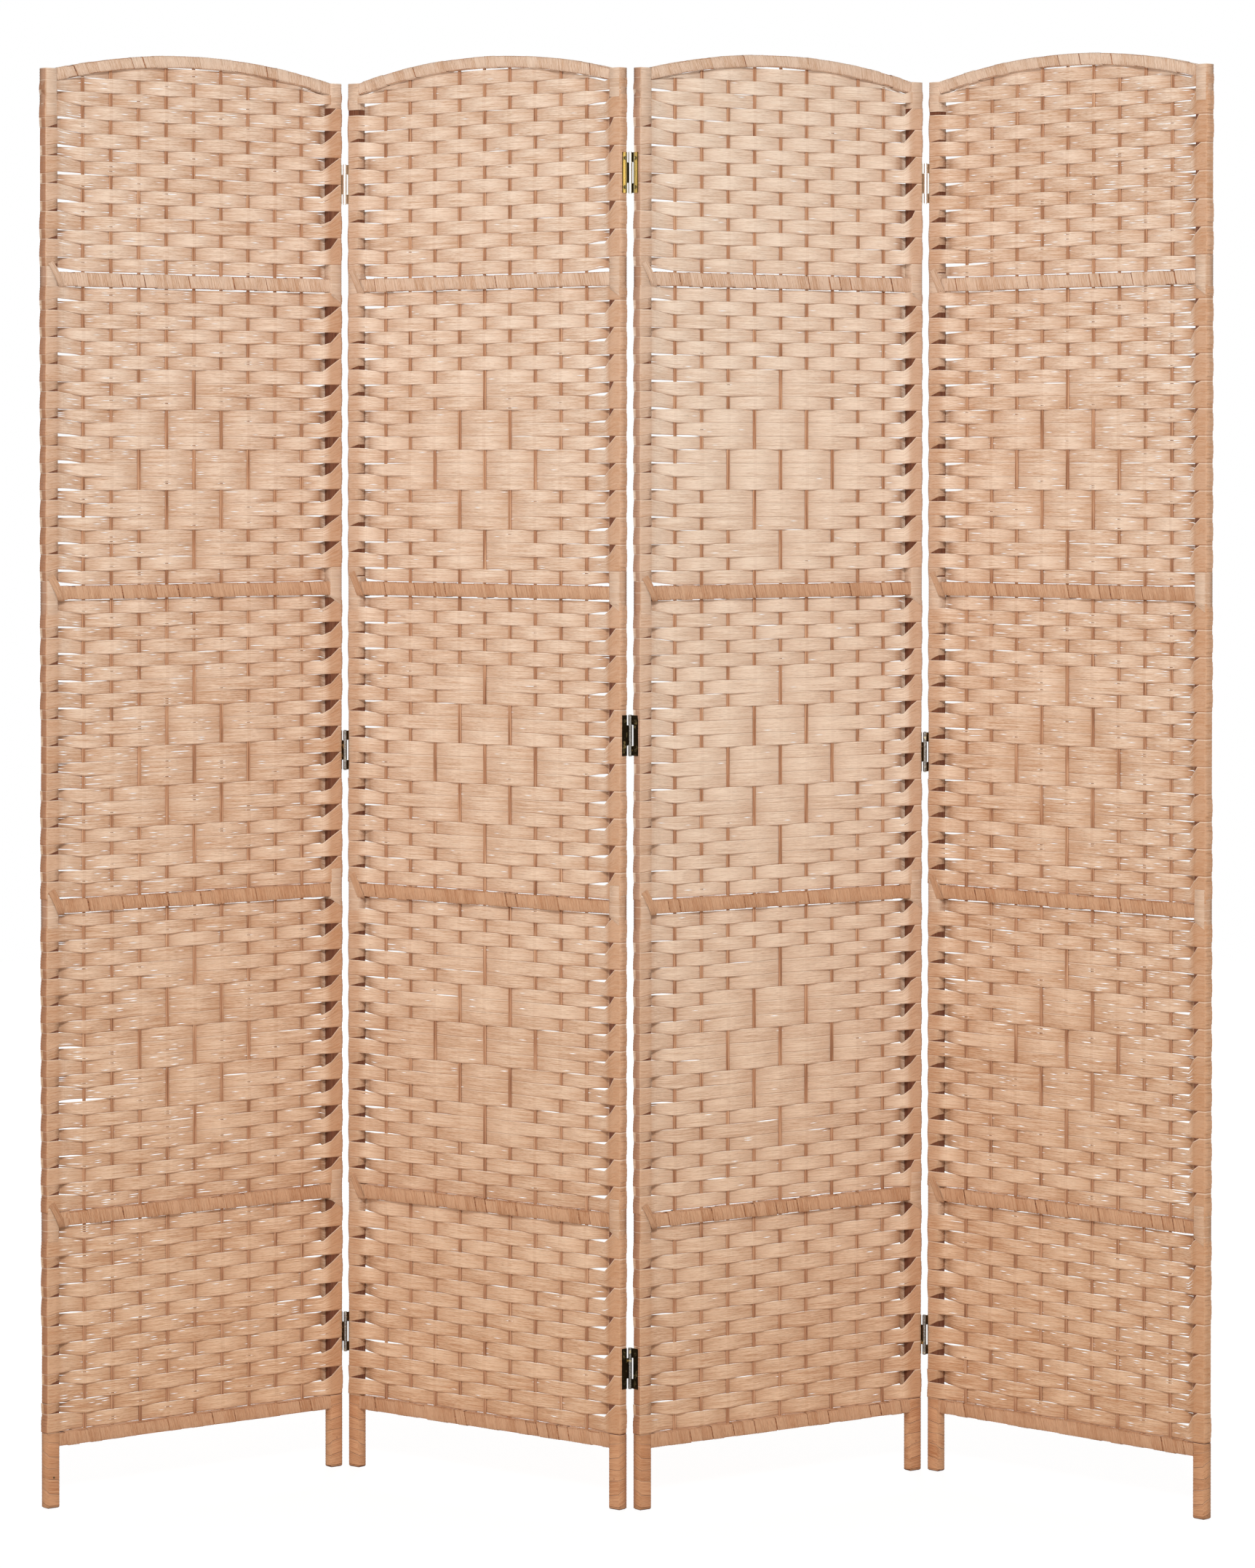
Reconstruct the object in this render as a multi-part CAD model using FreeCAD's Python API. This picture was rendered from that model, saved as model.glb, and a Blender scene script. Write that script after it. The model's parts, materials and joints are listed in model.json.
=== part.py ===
"""Four-panel folding screen: paper bands woven on timber frames, joined by butt hinges.

Units are millimetres. +Z is up, the front faces -Y, and the origin lies on the floor under
the middle of the screen as it stands in its zigzag.
"""

import FreeCAD
import Part
import math
import os

Vector = FreeCAD.Vector
os.makedirs("parts", exist_ok=True)

# Whole screen
overall_height = 1800.0
panel_width = 450.0
arch_rise = 24.0
panel_count = 4
panel_turns_deg = (38.5, -39.9, 35.9, -45.6)

# Posts, under their paper
post_width = 16.5
post_depth = 12.5
post_end_chamfer = 1.0

# Rails, under their paper
rail_height = 16.0
rail_depth = 11.0
arch_rail_height = 13.4
bottom_rail_height = 84.0
lowest_cross_rail_height = 356.0
top_cross_rail_drop = 259.0
cross_rail_count = 4
tenon_height = 9.0
tenon_thickness = 5.0
tenon_length = 10.0
arch_tenon_height = 6.0
mortise_clearance = 0.1

# Stakes, each a pair of thin rods
stake_count = 9
rod_diameter = 2.3
rod_gap = 0.1
slot_clearance = 0.1
stake_seat_depth = 6.0

# Paper bands and wrappings
wrap_thickness = 0.8
wrap_clearance = 0.05
weave_thickness = 4.6
band_pitch = 17.0
band_groove_height = 1.6
band_groove_depth = 0.5
weave_rail_gap = 0.5
foot_wrap_gap = 1.0

# Nails through the posts into the rails, and the tacks that hold the foot wrappings
nail_length = 35.0
nail_radius = 0.8
nail_head_radius = 1.7
nail_head_thickness = 0.8
tack_height = 38.0
tack_length = 8.0
tack_radius = 0.6
tack_head_radius = 1.3
tack_head_thickness = 0.4
fixing_clearance = 0.02

# Hinges
hinge_length = 50.0
bottom_hinge_height = 174.0
middle_hinge_heights = (922.0, 955.0, 921.0)
top_hinge_drop = 129.0
leaf_width = 13.0
leaf_thickness = 1.0
leaf_notch_gap = 2.0
barrel_radius = 2.4
centre_knuckle_length = 25.2
knuckle_gap = 0.3
pin_radius = 1.0
pin_clearance = 0.05
pin_seat_clearance = 0.02
pin_head_radius = 1.7
pin_head_thickness = 0.8
pin_side_offset = 2.5
pin_face_offset = 3.0
screw_spacing = 35.8
screw_length = 12.0
screw_shank_radius = 1.2
screw_head_radius = 2.3
screw_tip_length = 3.0
screw_slot_width = 0.6
screw_slot_depth = 0.5

# Every cutting tool runs past the face that it cuts by this much
overrun = 1.0

# Sizes worked out from those above
post_height = overall_height - arch_rise
wrapped_post_width = post_width + 2 * wrap_thickness
wrapped_half_depth = post_depth / 2 + wrap_thickness
wrapped_half_rail = rail_height / 2 + wrap_thickness
left_inner_x = wrap_thickness + post_width
right_inner_x = panel_width - left_inner_x
panel_middle_x = panel_width / 2
top_cross_rail_height = post_height - top_cross_rail_drop
cross_rail_pitch = (top_cross_rail_height - lowest_cross_rail_height) / (cross_rail_count - 1)
cross_rail_heights = [lowest_cross_rail_height + i * cross_rail_pitch for i in range(cross_rail_count)]
straight_rail_heights = [bottom_rail_height] + cross_rail_heights
stake_pitch = (right_inner_x - left_inner_x) / (stake_count + 1)
stake_places = [left_inner_x + (i + 1) * stake_pitch for i in range(stake_count)]
slot_half_width = rod_diameter + rod_gap / 2 + slot_clearance
slot_half_depth = rod_diameter / 2 + slot_clearance

# The top rail is an arc whose outer edge starts just under the post tops
arch_half_span = (right_inner_x - left_inner_x) / 2
arch_radius = (arch_half_span ** 2 + arch_rise ** 2) / (2 * arch_rise)
arch_centre_z = overall_height - wrap_thickness - arch_radius
arch_tenon_z = post_height - wrap_thickness - arch_rail_height / 2
arch_wrap_underside = -arch_rail_height - wrap_thickness

# Hinge places: the pins stand in front of the screen at the first and last joint, behind it between
joint_faces = (-1, 1, -1)
pin_from_middle = wrapped_half_depth + pin_face_offset
leaf_notch = barrel_radius + leaf_notch_gap
end_knuckle_length = (hinge_length - centre_knuckle_length - 2 * knuckle_gap) / 2
screw_from_pin = (leaf_notch + leaf_width) / 2


def block(x_low, x_high, y_low, y_high, z_low, z_high):
    """A box between two limits on each axis, given in either order"""
    x_low, x_high = sorted((x_low, x_high))
    y_low, y_high = sorted((y_low, y_high))
    corner = Vector(x_low, y_low, z_low)
    return Part.makeBox(x_high - x_low, y_high - y_low, z_high - z_low, corner)


def rod(radius, start, direction, length):
    """A round rod from a point along a direction"""
    return Part.makeCylinder(radius, length, start, direction)


def prism(outline, direction):
    """A closed outline of points drawn out along a direction"""
    wire = Part.makePolygon(outline + [outline[0]])
    return Part.Face(wire).extrude(direction)


# Arched top rail


def arch_height(x, offset):
    """Height of the arc that runs at an offset from the arch's outer edge"""
    radius = arch_radius + offset
    return arch_centre_z + math.sqrt(radius ** 2 - (x - panel_middle_x) ** 2)


def arch_arc(x_low, x_high, offset):
    """The arc itself, from one place to another"""
    middle = (x_low + x_high) / 2
    points = [Vector(x, 0, arch_height(x, offset)) for x in (x_low, middle, x_high)]
    return Part.Arc(*points).toShape()


def arch_band(x_low, x_high, offset_low, offset_high, half_depth):
    """A curved bar between two arcs, centred on the panel's middle plane"""
    upper = arch_arc(x_low, x_high, offset_high)
    lower = arch_arc(x_low, x_high, offset_low)
    ends = [
        Part.makeLine(Vector(x, 0, arch_height(x, offset_low)), Vector(x, 0, arch_height(x, offset_high)))
        for x in (x_low, x_high)
    ]
    wire = Part.Wire(Part.__sortEdges__([upper, lower] + ends))
    bar = Part.Face(wire).extrude(Vector(0, 2 * half_depth, 0))
    bar.translate(Vector(0, -half_depth, 0))
    return bar


def under_arch(z_low, offset, half_depth):
    """Everything from a level up to the arc at an offset, between the post sleeves"""
    x_low, x_high = wrapped_post_width, panel_width - wrapped_post_width
    corners = [
        Vector(x_low, 0, arch_height(x_low, offset)),
        Vector(x_low, 0, z_low),
        Vector(x_high, 0, z_low),
        Vector(x_high, 0, arch_height(x_high, offset)),
    ]
    edges = [Part.makeLine(a, b) for a, b in zip(corners, corners[1:])]
    wire = Part.Wire(Part.__sortEdges__(edges + [arch_arc(x_low, x_high, offset)]))
    body = Part.Face(wire).extrude(Vector(0, 2 * half_depth, 0))
    body.translate(Vector(0, -half_depth, 0))
    return body


# Nails, tacks and screws


def headed_pin(radius, length, head_radius, head_thickness, start, direction):
    """A straight fixing with a flat round head, the head starting at the given point"""
    head = rod(head_radius, start, direction, head_thickness)
    return head.fuse(rod(radius, start, direction, length)).removeSplitter()


def nail_sites():
    """Start and direction of each nail, one through each post into each rail end"""
    sites = []
    for height in straight_rail_heights + [arch_tenon_z]:
        sites.append((Vector(wrap_thickness, 0, height), Vector(1, 0, 0)))
        sites.append((Vector(panel_width - wrap_thickness, 0, height), Vector(-1, 0, 0)))
    return sites


def nail(site, clearance):
    """A nail, or with a clearance the hole that it lies in"""
    return headed_pin(
        nail_radius + clearance,
        nail_length + clearance,
        nail_head_radius + clearance,
        nail_head_thickness + clearance,
        *site,
    )


def tack_sites():
    """Start and direction of the tack in the front of each foot"""
    front_y = -wrapped_half_depth - tack_head_thickness
    middles = (wrapped_post_width / 2, panel_width - wrapped_post_width / 2)
    return [(Vector(x, front_y, tack_height), Vector(0, 1, 0)) for x in middles]


def tack(site):
    """A short tack whose head lies on the paper"""
    return headed_pin(tack_radius, tack_length, tack_head_radius, tack_head_thickness, *site)


def tack_hole(site):
    """The hole of a tack's shank"""
    start, direction = site
    return rod(tack_radius + fixing_clearance, start, direction, tack_length + fixing_clearance)


def screw_body(site, clearance):
    """A countersunk screw without its slot, or with a clearance the hole that it lies in"""
    start, direction = site
    head_end = start + direction * leaf_thickness
    shank = screw_length - leaf_thickness - screw_tip_length
    tip_start = head_end + direction * shank
    root = screw_shank_radius + clearance
    head = Part.makeCone(screw_head_radius + clearance, root, leaf_thickness, start, direction)
    tip = Part.makeCone(root, clearance, screw_tip_length + clearance, tip_start, direction)
    return head.fuse([rod(root, head_end, direction, shank), tip]).removeSplitter()


def screw(site):
    """A slotted countersunk screw"""
    start, direction = site
    x_end = start.x + direction.x * screw_slot_depth
    half = screw_slot_width / 2
    slot = block(
        start.x - direction.x * overrun,
        x_end,
        start.y - screw_head_radius - overrun,
        start.y + screw_head_radius + overrun,
        start.z - half,
        start.z + half,
    )
    return screw_body(site, 0).cut(slot)


# Hinges, each leaf lying on the outer side of a post


def hinge_heights(joint):
    """Middle heights of the three hinges of a joint"""
    return [bottom_hinge_height, middle_hinge_heights[joint], post_height - top_hinge_drop]


def panel_edges(panel):
    """The hinged edges of a panel: joint number, edge position and outward direction"""
    edges = []
    if panel > 0:
        edges.append((panel - 1, 0, -1))
    if panel < panel_count - 1:
        edges.append((panel, panel_width, 1))
    return edges


def pin_place(joint, edge_x, outward):
    """Where the pin of a joint stands in the frame of one of its panels"""
    return Vector(edge_x + outward * pin_side_offset, joint_faces[joint] * pin_from_middle, 0)


def screw_sites(joint, edge_x, outward):
    """Start and direction of the screws that hold the leaves on one panel edge"""
    face = joint_faces[joint]
    y = face * (pin_from_middle - screw_from_pin)
    start_x = edge_x + outward * leaf_thickness
    sites = []
    for height in hinge_heights(joint):
        for z in (height - screw_spacing / 2, height + screw_spacing / 2):
            sites.append((Vector(start_x, y, z), Vector(-outward, 0, 0)))
    return sites


def knuckle_spans(height, outward):
    """Levels between which a leaf has knuckles: one in the middle, or one at each end"""
    half_centre = centre_knuckle_length / 2
    if outward > 0:
        return [(height - half_centre, height + half_centre)]
    half_hinge = hinge_length / 2
    return [
        (height - half_hinge, height - half_hinge + end_knuckle_length),
        (height + half_hinge - end_knuckle_length, height + half_hinge),
    ]


def hinge_leaf(joint, height, edge_x, outward):
    """A leaf with its rolled knuckles, drilled for its pin and screws"""
    face = joint_faces[joint]
    pin = pin_place(joint, edge_x, outward)
    plate_x = edge_x + outward * leaf_thickness
    notch_y = pin.y - face * leaf_notch
    half_hinge = hinge_length / 2
    plate_end = pin.y - face * leaf_width
    leaf = block(edge_x, plate_x, notch_y, plate_end, height - half_hinge, height + half_hinge)
    own_clearance = pin_clearance if outward > 0 else pin_seat_clearance
    holes = []
    for low, high in knuckle_spans(height, outward):
        foot = Vector(pin.x, pin.y, low)
        tongue = block(edge_x, plate_x, pin.y, notch_y, low, high)
        leaf = leaf.fuse([tongue, rod(barrel_radius, foot, Vector(0, 0, 1), high - low)])
        drill = Vector(pin.x, pin.y, low - overrun)
        holes.append(rod(pin_radius + own_clearance, drill, Vector(0, 0, 1), high - low + 2 * overrun))
    for site in screw_sites(joint, edge_x, outward):
        if abs(site[0].z - height) < half_hinge:
            holes.append(screw_body(site, fixing_clearance))
    return leaf.removeSplitter().cut(holes)


def hinge_pin(joint, height, edge_x, outward):
    """A hinge pin with a flat head at each end"""
    pin = pin_place(joint, edge_x, outward)
    half_hinge = hinge_length / 2
    foot = Vector(pin.x, pin.y, height - half_hinge - pin_head_thickness)
    top = Vector(pin.x, pin.y, height + half_hinge)
    up = Vector(0, 0, 1)
    heads = [rod(pin_head_radius, start, up, pin_head_thickness) for start in (foot, top)]
    shaft = rod(pin_radius, foot, up, hinge_length + 2 * pin_head_thickness)
    return shaft.fuse(heads).removeSplitter()


# Posts and rails


def tenon_places():
    """Height and half height of each rail's tenon"""
    straight = [(height, tenon_height / 2) for height in straight_rail_heights]
    return straight + [(arch_tenon_z, arch_tenon_height / 2)]


def tenon(height, half_height, side, clearance):
    """A rail's tenon in the left or the right post, or with a clearance its mortise"""
    shoulder_x = left_inner_x if side < 0 else right_inner_x
    tip_x = shoulder_x + side * (tenon_length + clearance)
    half_thickness = tenon_thickness / 2 + clearance
    half_height = half_height + clearance
    return block(
        shoulder_x, tip_x, -half_thickness, half_thickness, height - half_height, height + half_height
    )


def post(panel, side):
    """A post with its mortises and its nail, tack and screw holes"""
    x_low = wrap_thickness if side < 0 else right_inner_x
    body = block(x_low, x_low + post_width, -post_depth / 2, post_depth / 2, 0, post_height)
    end_edges = [e for e in body.Edges if e.BoundBox.ZLength < e.Length / 2]
    body = body.makeChamfer(post_end_chamfer, end_edges)
    tools = [tenon(height, half, side, mortise_clearance) for height, half in tenon_places()]
    tools += [nail(site, fixing_clearance) for site in nail_sites() if site[1].x == -side]
    tools += [tack_hole(site) for site in tack_sites() if (site[0].x - panel_middle_x) * side > 0]
    for joint, edge_x, outward in panel_edges(panel):
        if outward == side:
            tools += [screw_body(site, fixing_clearance) for site in screw_sites(joint, edge_x, outward)]
    return body.cut(tools)


def slot(x, z_low, z_high):
    """The slot that a stake lies in"""
    return block(x - slot_half_width, x + slot_half_width, -slot_half_depth, slot_half_depth, z_low, z_high)


def straight_rail(height):
    """A straight rail with its tenons and nail holes, not yet slotted for the stakes"""
    half_depth = rail_depth / 2
    low, high = height - rail_height / 2, height + rail_height / 2
    body = block(left_inner_x, right_inner_x, -half_depth, half_depth, low, high)
    body = body.fuse([tenon(height, tenon_height / 2, side, 0) for side in (-1, 1)])
    return body.cut([nail(site, fixing_clearance) for site in nail_sites() if site[0].z == height])


def cross_rail(height):
    """A cross rail, slotted right through for the stakes"""
    low, high = height - rail_height / 2 - overrun, height + rail_height / 2 + overrun
    return straight_rail(height).cut([slot(x, low, high) for x in stake_places])


def bottom_rail():
    """The bottom rail, whose slots are blind"""
    top = bottom_rail_height + rail_height / 2
    seat = top - stake_seat_depth - slot_clearance
    return straight_rail(bottom_rail_height).cut([slot(x, seat, top + overrun) for x in stake_places])


def arch_slots(clearance):
    """The blind slots in the underside of the arched rail"""
    slots = []
    for x in stake_places:
        seat = arch_height(x, -arch_rail_height) + stake_seat_depth
        slots.append(slot(x, seat - stake_seat_depth - overrun - wrap_thickness, seat + clearance))
    return slots


def top_rail():
    """The arched rail with its tenons, nail holes and blind slots"""
    bar = arch_band(left_inner_x, right_inner_x, -arch_rail_height, 0, rail_depth / 2)
    bar = bar.fuse([tenon(arch_tenon_z, arch_tenon_height / 2, side, 0) for side in (-1, 1)])
    holes = [nail(site, fixing_clearance) for site in nail_sites() if site[0].z == arch_tenon_z]
    return bar.cut(holes + arch_slots(slot_clearance))


def stakes():
    """The pairs of rods, from the bottom rail up into the arched one"""
    foot = bottom_rail_height + rail_height / 2 - stake_seat_depth
    rods = []
    for x in stake_places:
        top = arch_height(x, -arch_rail_height) + stake_seat_depth
        for side in (-1, 1):
            rod_x = x + side * (rod_diameter + rod_gap) / 2
            rods.append(rod(rod_diameter / 2, Vector(rod_x, 0, foot), Vector(0, 0, 1), top - foot))
    return rods


# Woven bands


def banded_outline(half_thickness, z_low, z_high):
    """Side view of a stack of bands: half thickness and height, with a groove at each seam"""
    rows = max(1, round((z_high - z_low) / band_pitch))
    pitch = (z_high - z_low) / rows
    edge = [(half_thickness, z_low)]
    for row in range(1, rows):
        seam = z_low + row * pitch
        edge.append((half_thickness, seam - band_groove_height / 2))
        edge.append((half_thickness - band_groove_depth, seam))
        edge.append((half_thickness, seam + band_groove_height / 2))
    edge.append((half_thickness, z_high))
    return edge


def banded_slab(x_low, x_high, z_low, z_high):
    """The woven field between the posts, flat, with its rows marked on both faces"""
    edge = banded_outline(weave_thickness / 2, z_low, z_high)
    outline = [Vector(x_low, -y, z) for y, z in edge] + [Vector(x_low, y, z) for y, z in reversed(edge)]
    return prism(outline, Vector(x_high - x_low, 0, 0))


def banded_sleeve(side, z_low, z_high):
    """The turns of the bands round a post"""
    middle_x = wrapped_post_width / 2 if side < 0 else panel_width - wrapped_post_width / 2
    across = banded_outline(wrapped_half_depth, z_low, z_high)
    along = banded_outline(wrapped_post_width / 2, z_low, z_high)
    x_low, x_high = middle_x - wrapped_post_width / 2, middle_x + wrapped_post_width / 2
    front_back = [Vector(x_low, -y, z) for y, z in across]
    front_back += [Vector(x_low, y, z) for y, z in reversed(across)]
    sides = [Vector(middle_x - x, -wrapped_half_depth, z) for x, z in along]
    sides += [Vector(middle_x + x, -wrapped_half_depth, z) for x, z in reversed(along)]
    bulk = prism(front_back, Vector(x_high - x_low, 0, 0))
    bulk = bulk.common(prism(sides, Vector(0, 2 * wrapped_half_depth, 0)))
    return bulk.cut(post_core(side, wrap_clearance, z_low - overrun, z_high + overrun))


def post_core(side, clearance, z_low, z_high):
    """A length of a post's plain section, grown by a clearance"""
    x_low = wrap_thickness if side < 0 else right_inner_x
    return block(
        x_low - clearance,
        x_low + post_width + clearance,
        -post_depth / 2 - clearance,
        post_depth / 2 + clearance,
        z_low,
        z_high,
    )


def drilled(pieces, panel):
    """Pieces of paper with the screw holes of a panel's hinged edges"""
    holes = []
    for joint, edge_x, outward in panel_edges(panel):
        holes += [screw_body(site, fixing_clearance) for site in screw_sites(joint, edge_x, outward)]
    result = []
    for piece in pieces:
        near = [hole for hole in holes if hole.BoundBox.intersect(piece.BoundBox)]
        result.append(piece.cut(near) if near else piece)
    return result


def weave_sections():
    """Lower and upper limit of each woven section between straight rails"""
    reach = wrapped_half_rail + weave_rail_gap
    levels = zip(straight_rail_heights, straight_rail_heights[1:])
    return [(low + reach, high - reach) for low, high in levels]


def weave():
    """All the woven sections of a panel, each a slotted field and two sleeves of turns"""
    x_low, x_high = wrapped_post_width, panel_width - wrapped_post_width
    pieces = []
    for low, high in weave_sections():
        field = banded_slab(x_low, x_high, low, high)
        pieces.append(field.cut([slot(x, low - overrun, high + overrun) for x in stake_places]))
        pieces += [banded_sleeve(side, low, high) for side in (-1, 1)]
    low = top_cross_rail_height + wrapped_half_rail + weave_rail_gap
    offset = arch_wrap_underside - weave_rail_gap
    crest = arch_centre_z + arch_radius + offset
    field = banded_slab(x_low, x_high, low, crest)
    field = field.common(under_arch(low, offset, weave_thickness))
    pieces.append(field.cut([slot(x, low - overrun, crest + overrun) for x in stake_places]))
    sleeve_top = arch_height(left_inner_x, offset)
    return pieces + [banded_sleeve(side, low, sleeve_top) for side in (-1, 1)]


# Paper wrapped round the rails, the feet and the corners


def rail_wrap(height):
    """The sleeve of paper on a straight rail"""
    x_low, x_high = wrapped_post_width, panel_width - wrapped_post_width
    half_depth = rail_depth / 2 + wrap_thickness
    low, high = height - wrapped_half_rail, height + wrapped_half_rail
    bore_half_depth = rail_depth / 2 + wrap_clearance
    bore_half_height = rail_height / 2 + wrap_clearance
    sleeve = block(x_low, x_high, -half_depth, half_depth, low, high)
    bore = block(
        x_low - overrun,
        x_high + overrun,
        -bore_half_depth,
        bore_half_depth,
        height - bore_half_height,
        height + bore_half_height,
    )
    slot_low = height if height == bottom_rail_height else low - overrun
    return sleeve.cut([bore] + [slot(x, slot_low, high + overrun) for x in stake_places])


def arch_wrap():
    """The sleeve of paper on the arched rail"""
    x_low, x_high = wrapped_post_width, panel_width - wrapped_post_width
    half_depth = rail_depth / 2 + wrap_thickness
    sleeve = arch_band(x_low, x_high, arch_wrap_underside, wrap_thickness, half_depth)
    bore = arch_band(
        left_inner_x,
        right_inner_x,
        -arch_rail_height - wrap_clearance,
        wrap_clearance,
        rail_depth / 2 + wrap_clearance,
    )
    return sleeve.cut([bore] + arch_slots(0))


def post_wrap(side, z_low, z_high, opening):
    """A ring of paper round a post, open where a rail comes out"""
    x_low = 0 if side < 0 else panel_width - wrapped_post_width
    x_high = x_low + wrapped_post_width
    ring = block(x_low, x_high, -wrapped_half_depth, wrapped_half_depth, z_low, z_high)
    holes = [tack_hole(site) for site in tack_sites() if z_low < tack_height < z_high]
    bore = post_core(side, wrap_clearance, z_low - overrun, z_high + overrun)
    return ring.cut([bore, opening] + holes)


def rail_opening(height):
    """The space that a straight rail takes in the rings round the posts"""
    half_depth = rail_depth / 2 + wrap_clearance
    half_height = rail_height / 2 + wrap_clearance
    return block(
        left_inner_x, right_inner_x, -half_depth, half_depth, height - half_height, height + half_height
    )


def wraps():
    """Every wrapping of a panel but the woven bands"""
    pieces = [rail_wrap(height) for height in straight_rail_heights] + [arch_wrap()]
    arch_opening = arch_band(
        left_inner_x,
        right_inner_x,
        -arch_rail_height - wrap_clearance,
        wrap_thickness + overrun,
        rail_depth / 2 + wrap_clearance,
    )
    top_low = arch_height(left_inner_x, arch_wrap_underside)
    foot_top = bottom_rail_height + wrapped_half_rail
    for side in (-1, 1):
        pieces.append(post_wrap(side, foot_wrap_gap, foot_top, rail_opening(bottom_rail_height)))
        for height in cross_rail_heights:
            low, high = height - wrapped_half_rail, height + wrapped_half_rail
            pieces.append(post_wrap(side, low, high, rail_opening(height)))
        pieces.append(post_wrap(side, top_low, post_height, arch_opening))
    return pieces


def fixings(panel):
    """Rail nails, foot tacks and hinge screws of a panel"""
    pieces = [nail(site, 0) for site in nail_sites()] + [tack(site) for site in tack_sites()]
    for joint, edge_x, outward in panel_edges(panel):
        pieces += [screw(site) for site in screw_sites(joint, edge_x, outward)]
    return pieces


# Places of the panels, chained from joint to joint and then centred


def chained_placements():
    """Placement of each panel, the first one's left edge at the origin"""
    turns = [FreeCAD.Rotation(Vector(0, 0, 1), angle) for angle in panel_turns_deg]
    placements = [FreeCAD.Placement(Vector(0, 0, 0), turns[0])]
    for joint in range(panel_count - 1):
        pin = placements[joint].multVec(pin_place(joint, panel_width, 1))
        turn = turns[joint + 1]
        start = pin - turn.multVec(pin_place(joint, 0, -1))
        placements.append(FreeCAD.Placement(start, turn))
    return placements


def centred(placements):
    """The same placements, moved so that the screen's box is centred over the origin"""
    corners = [Vector(x, y * wrapped_half_depth, 0) for x in (0, panel_width) for y in (-1, 1)]
    points = [place.multVec(corner) for place in placements for corner in corners]
    middle_x = (min(p.x for p in points) + max(p.x for p in points)) / 2
    middle_y = (min(p.y for p in points) + max(p.y for p in points)) / 2
    back = Vector(-middle_x, -middle_y, 0)
    return [FreeCAD.Placement(place.Base + back, place.Rotation) for place in placements]


def save(name, pieces, placement):
    """Write the solids of one node, set where its panel stands"""
    solids = []
    for piece in pieces:
        for solid in piece.Solids:
            placed = solid.copy()
            placed.Placement = placement.multiply(solid.Placement)
            solids.append(placed)
    shape = solids[0] if len(solids) == 1 else Part.makeCompound(solids)
    shape.exportStep(f"parts/{name}.step")
    volume = sum(solid.Volume for solid in solids)
    valid = all(solid.isValid() for solid in solids)
    print(f"{name}: {len(solids)} solids, {volume / 1000:.2f} cm3, valid {valid}")


placements = centred(chained_placements())
arched_rail = top_rail()
cross_rails = [cross_rail(height) for height in cross_rail_heights]
lowest_rail = bottom_rail()
rod_pairs = stakes()
woven_bands = weave()
wrappings = wraps()

for panel in range(panel_count):
    place = placements[panel]
    name = f"panel_{panel + 1}"
    save(f"{name}_left_post", [post(panel, -1)], place)
    save(f"{name}_right_post", [post(panel, 1)], place)
    save(f"{name}_top_rail", [arched_rail], place)
    for number, rail in enumerate(reversed(cross_rails)):
        save(f"{name}_cross_rail_{number + 1}", [rail], place)
    save(f"{name}_bottom_rail", [lowest_rail], place)
    save(f"{name}_stakes", rod_pairs, place)
    save(f"{name}_weave", drilled(woven_bands, panel), place)
    save(f"{name}_wraps", drilled(wrappings, panel), place)
    save(f"{name}_nails_and_screws", fixings(panel), place)

for joint in range(panel_count - 1):
    name = f"hinges_{joint + 1}_{joint + 2}"
    heights = hinge_heights(joint)
    left_place, right_place = placements[joint], placements[joint + 1]
    save(f"{name}_left_leaves", [hinge_leaf(joint, z, panel_width, 1) for z in heights], left_place)
    save(f"{name}_right_leaves", [hinge_leaf(joint, z, 0, -1) for z in heights], right_place)
    save(f"{name}_pins", [hinge_pin(joint, z, 0, -1) for z in heights], right_place)
    pin = right_place.multVec(pin_place(joint, 0, -1))
    turn = panel_turns_deg[joint + 1] - panel_turns_deg[joint]
    print(f"{name}: pin at {pin.x:.4f}, {pin.y:.4f}; panels turned {turn:.1f} degrees from flat")

for panel, place in enumerate(placements):
    for x in (wrapped_post_width / 2, panel_width - wrapped_post_width / 2):
        foot = place.multVec(Vector(x, 0, 0))
        print(f"panel {panel + 1} foot at {foot.x:.4f}, {foot.y:.4f}")
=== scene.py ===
"""Folding screen of four paper-woven panels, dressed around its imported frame."""

import json
import math
import random

import bmesh
import bpy
from mathutils import Matrix, Vector


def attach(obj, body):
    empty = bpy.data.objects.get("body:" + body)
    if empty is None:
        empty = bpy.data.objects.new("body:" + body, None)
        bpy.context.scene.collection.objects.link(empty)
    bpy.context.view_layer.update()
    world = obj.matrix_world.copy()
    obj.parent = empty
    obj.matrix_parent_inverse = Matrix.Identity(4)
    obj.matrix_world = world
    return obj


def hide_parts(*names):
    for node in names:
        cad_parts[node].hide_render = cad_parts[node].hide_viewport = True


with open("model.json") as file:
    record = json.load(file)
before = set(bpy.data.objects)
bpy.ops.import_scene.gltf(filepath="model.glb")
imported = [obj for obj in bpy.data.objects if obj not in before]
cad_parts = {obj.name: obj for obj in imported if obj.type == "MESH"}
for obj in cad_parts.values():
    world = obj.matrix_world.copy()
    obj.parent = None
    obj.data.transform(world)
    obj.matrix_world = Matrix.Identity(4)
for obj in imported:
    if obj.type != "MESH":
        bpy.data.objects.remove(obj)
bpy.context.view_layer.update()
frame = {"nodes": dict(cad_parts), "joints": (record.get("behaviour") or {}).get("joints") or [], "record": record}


# Posts and rails: sawn softwood, mortised together and left bare, because paper covers it.
# It shows only in the dark openings beside the posts, on the feet's ends and from above, with
# its grain running along each stick. On the posts every face but the ends is darkened by painted
# shade, for the shade in those openings.


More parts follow.
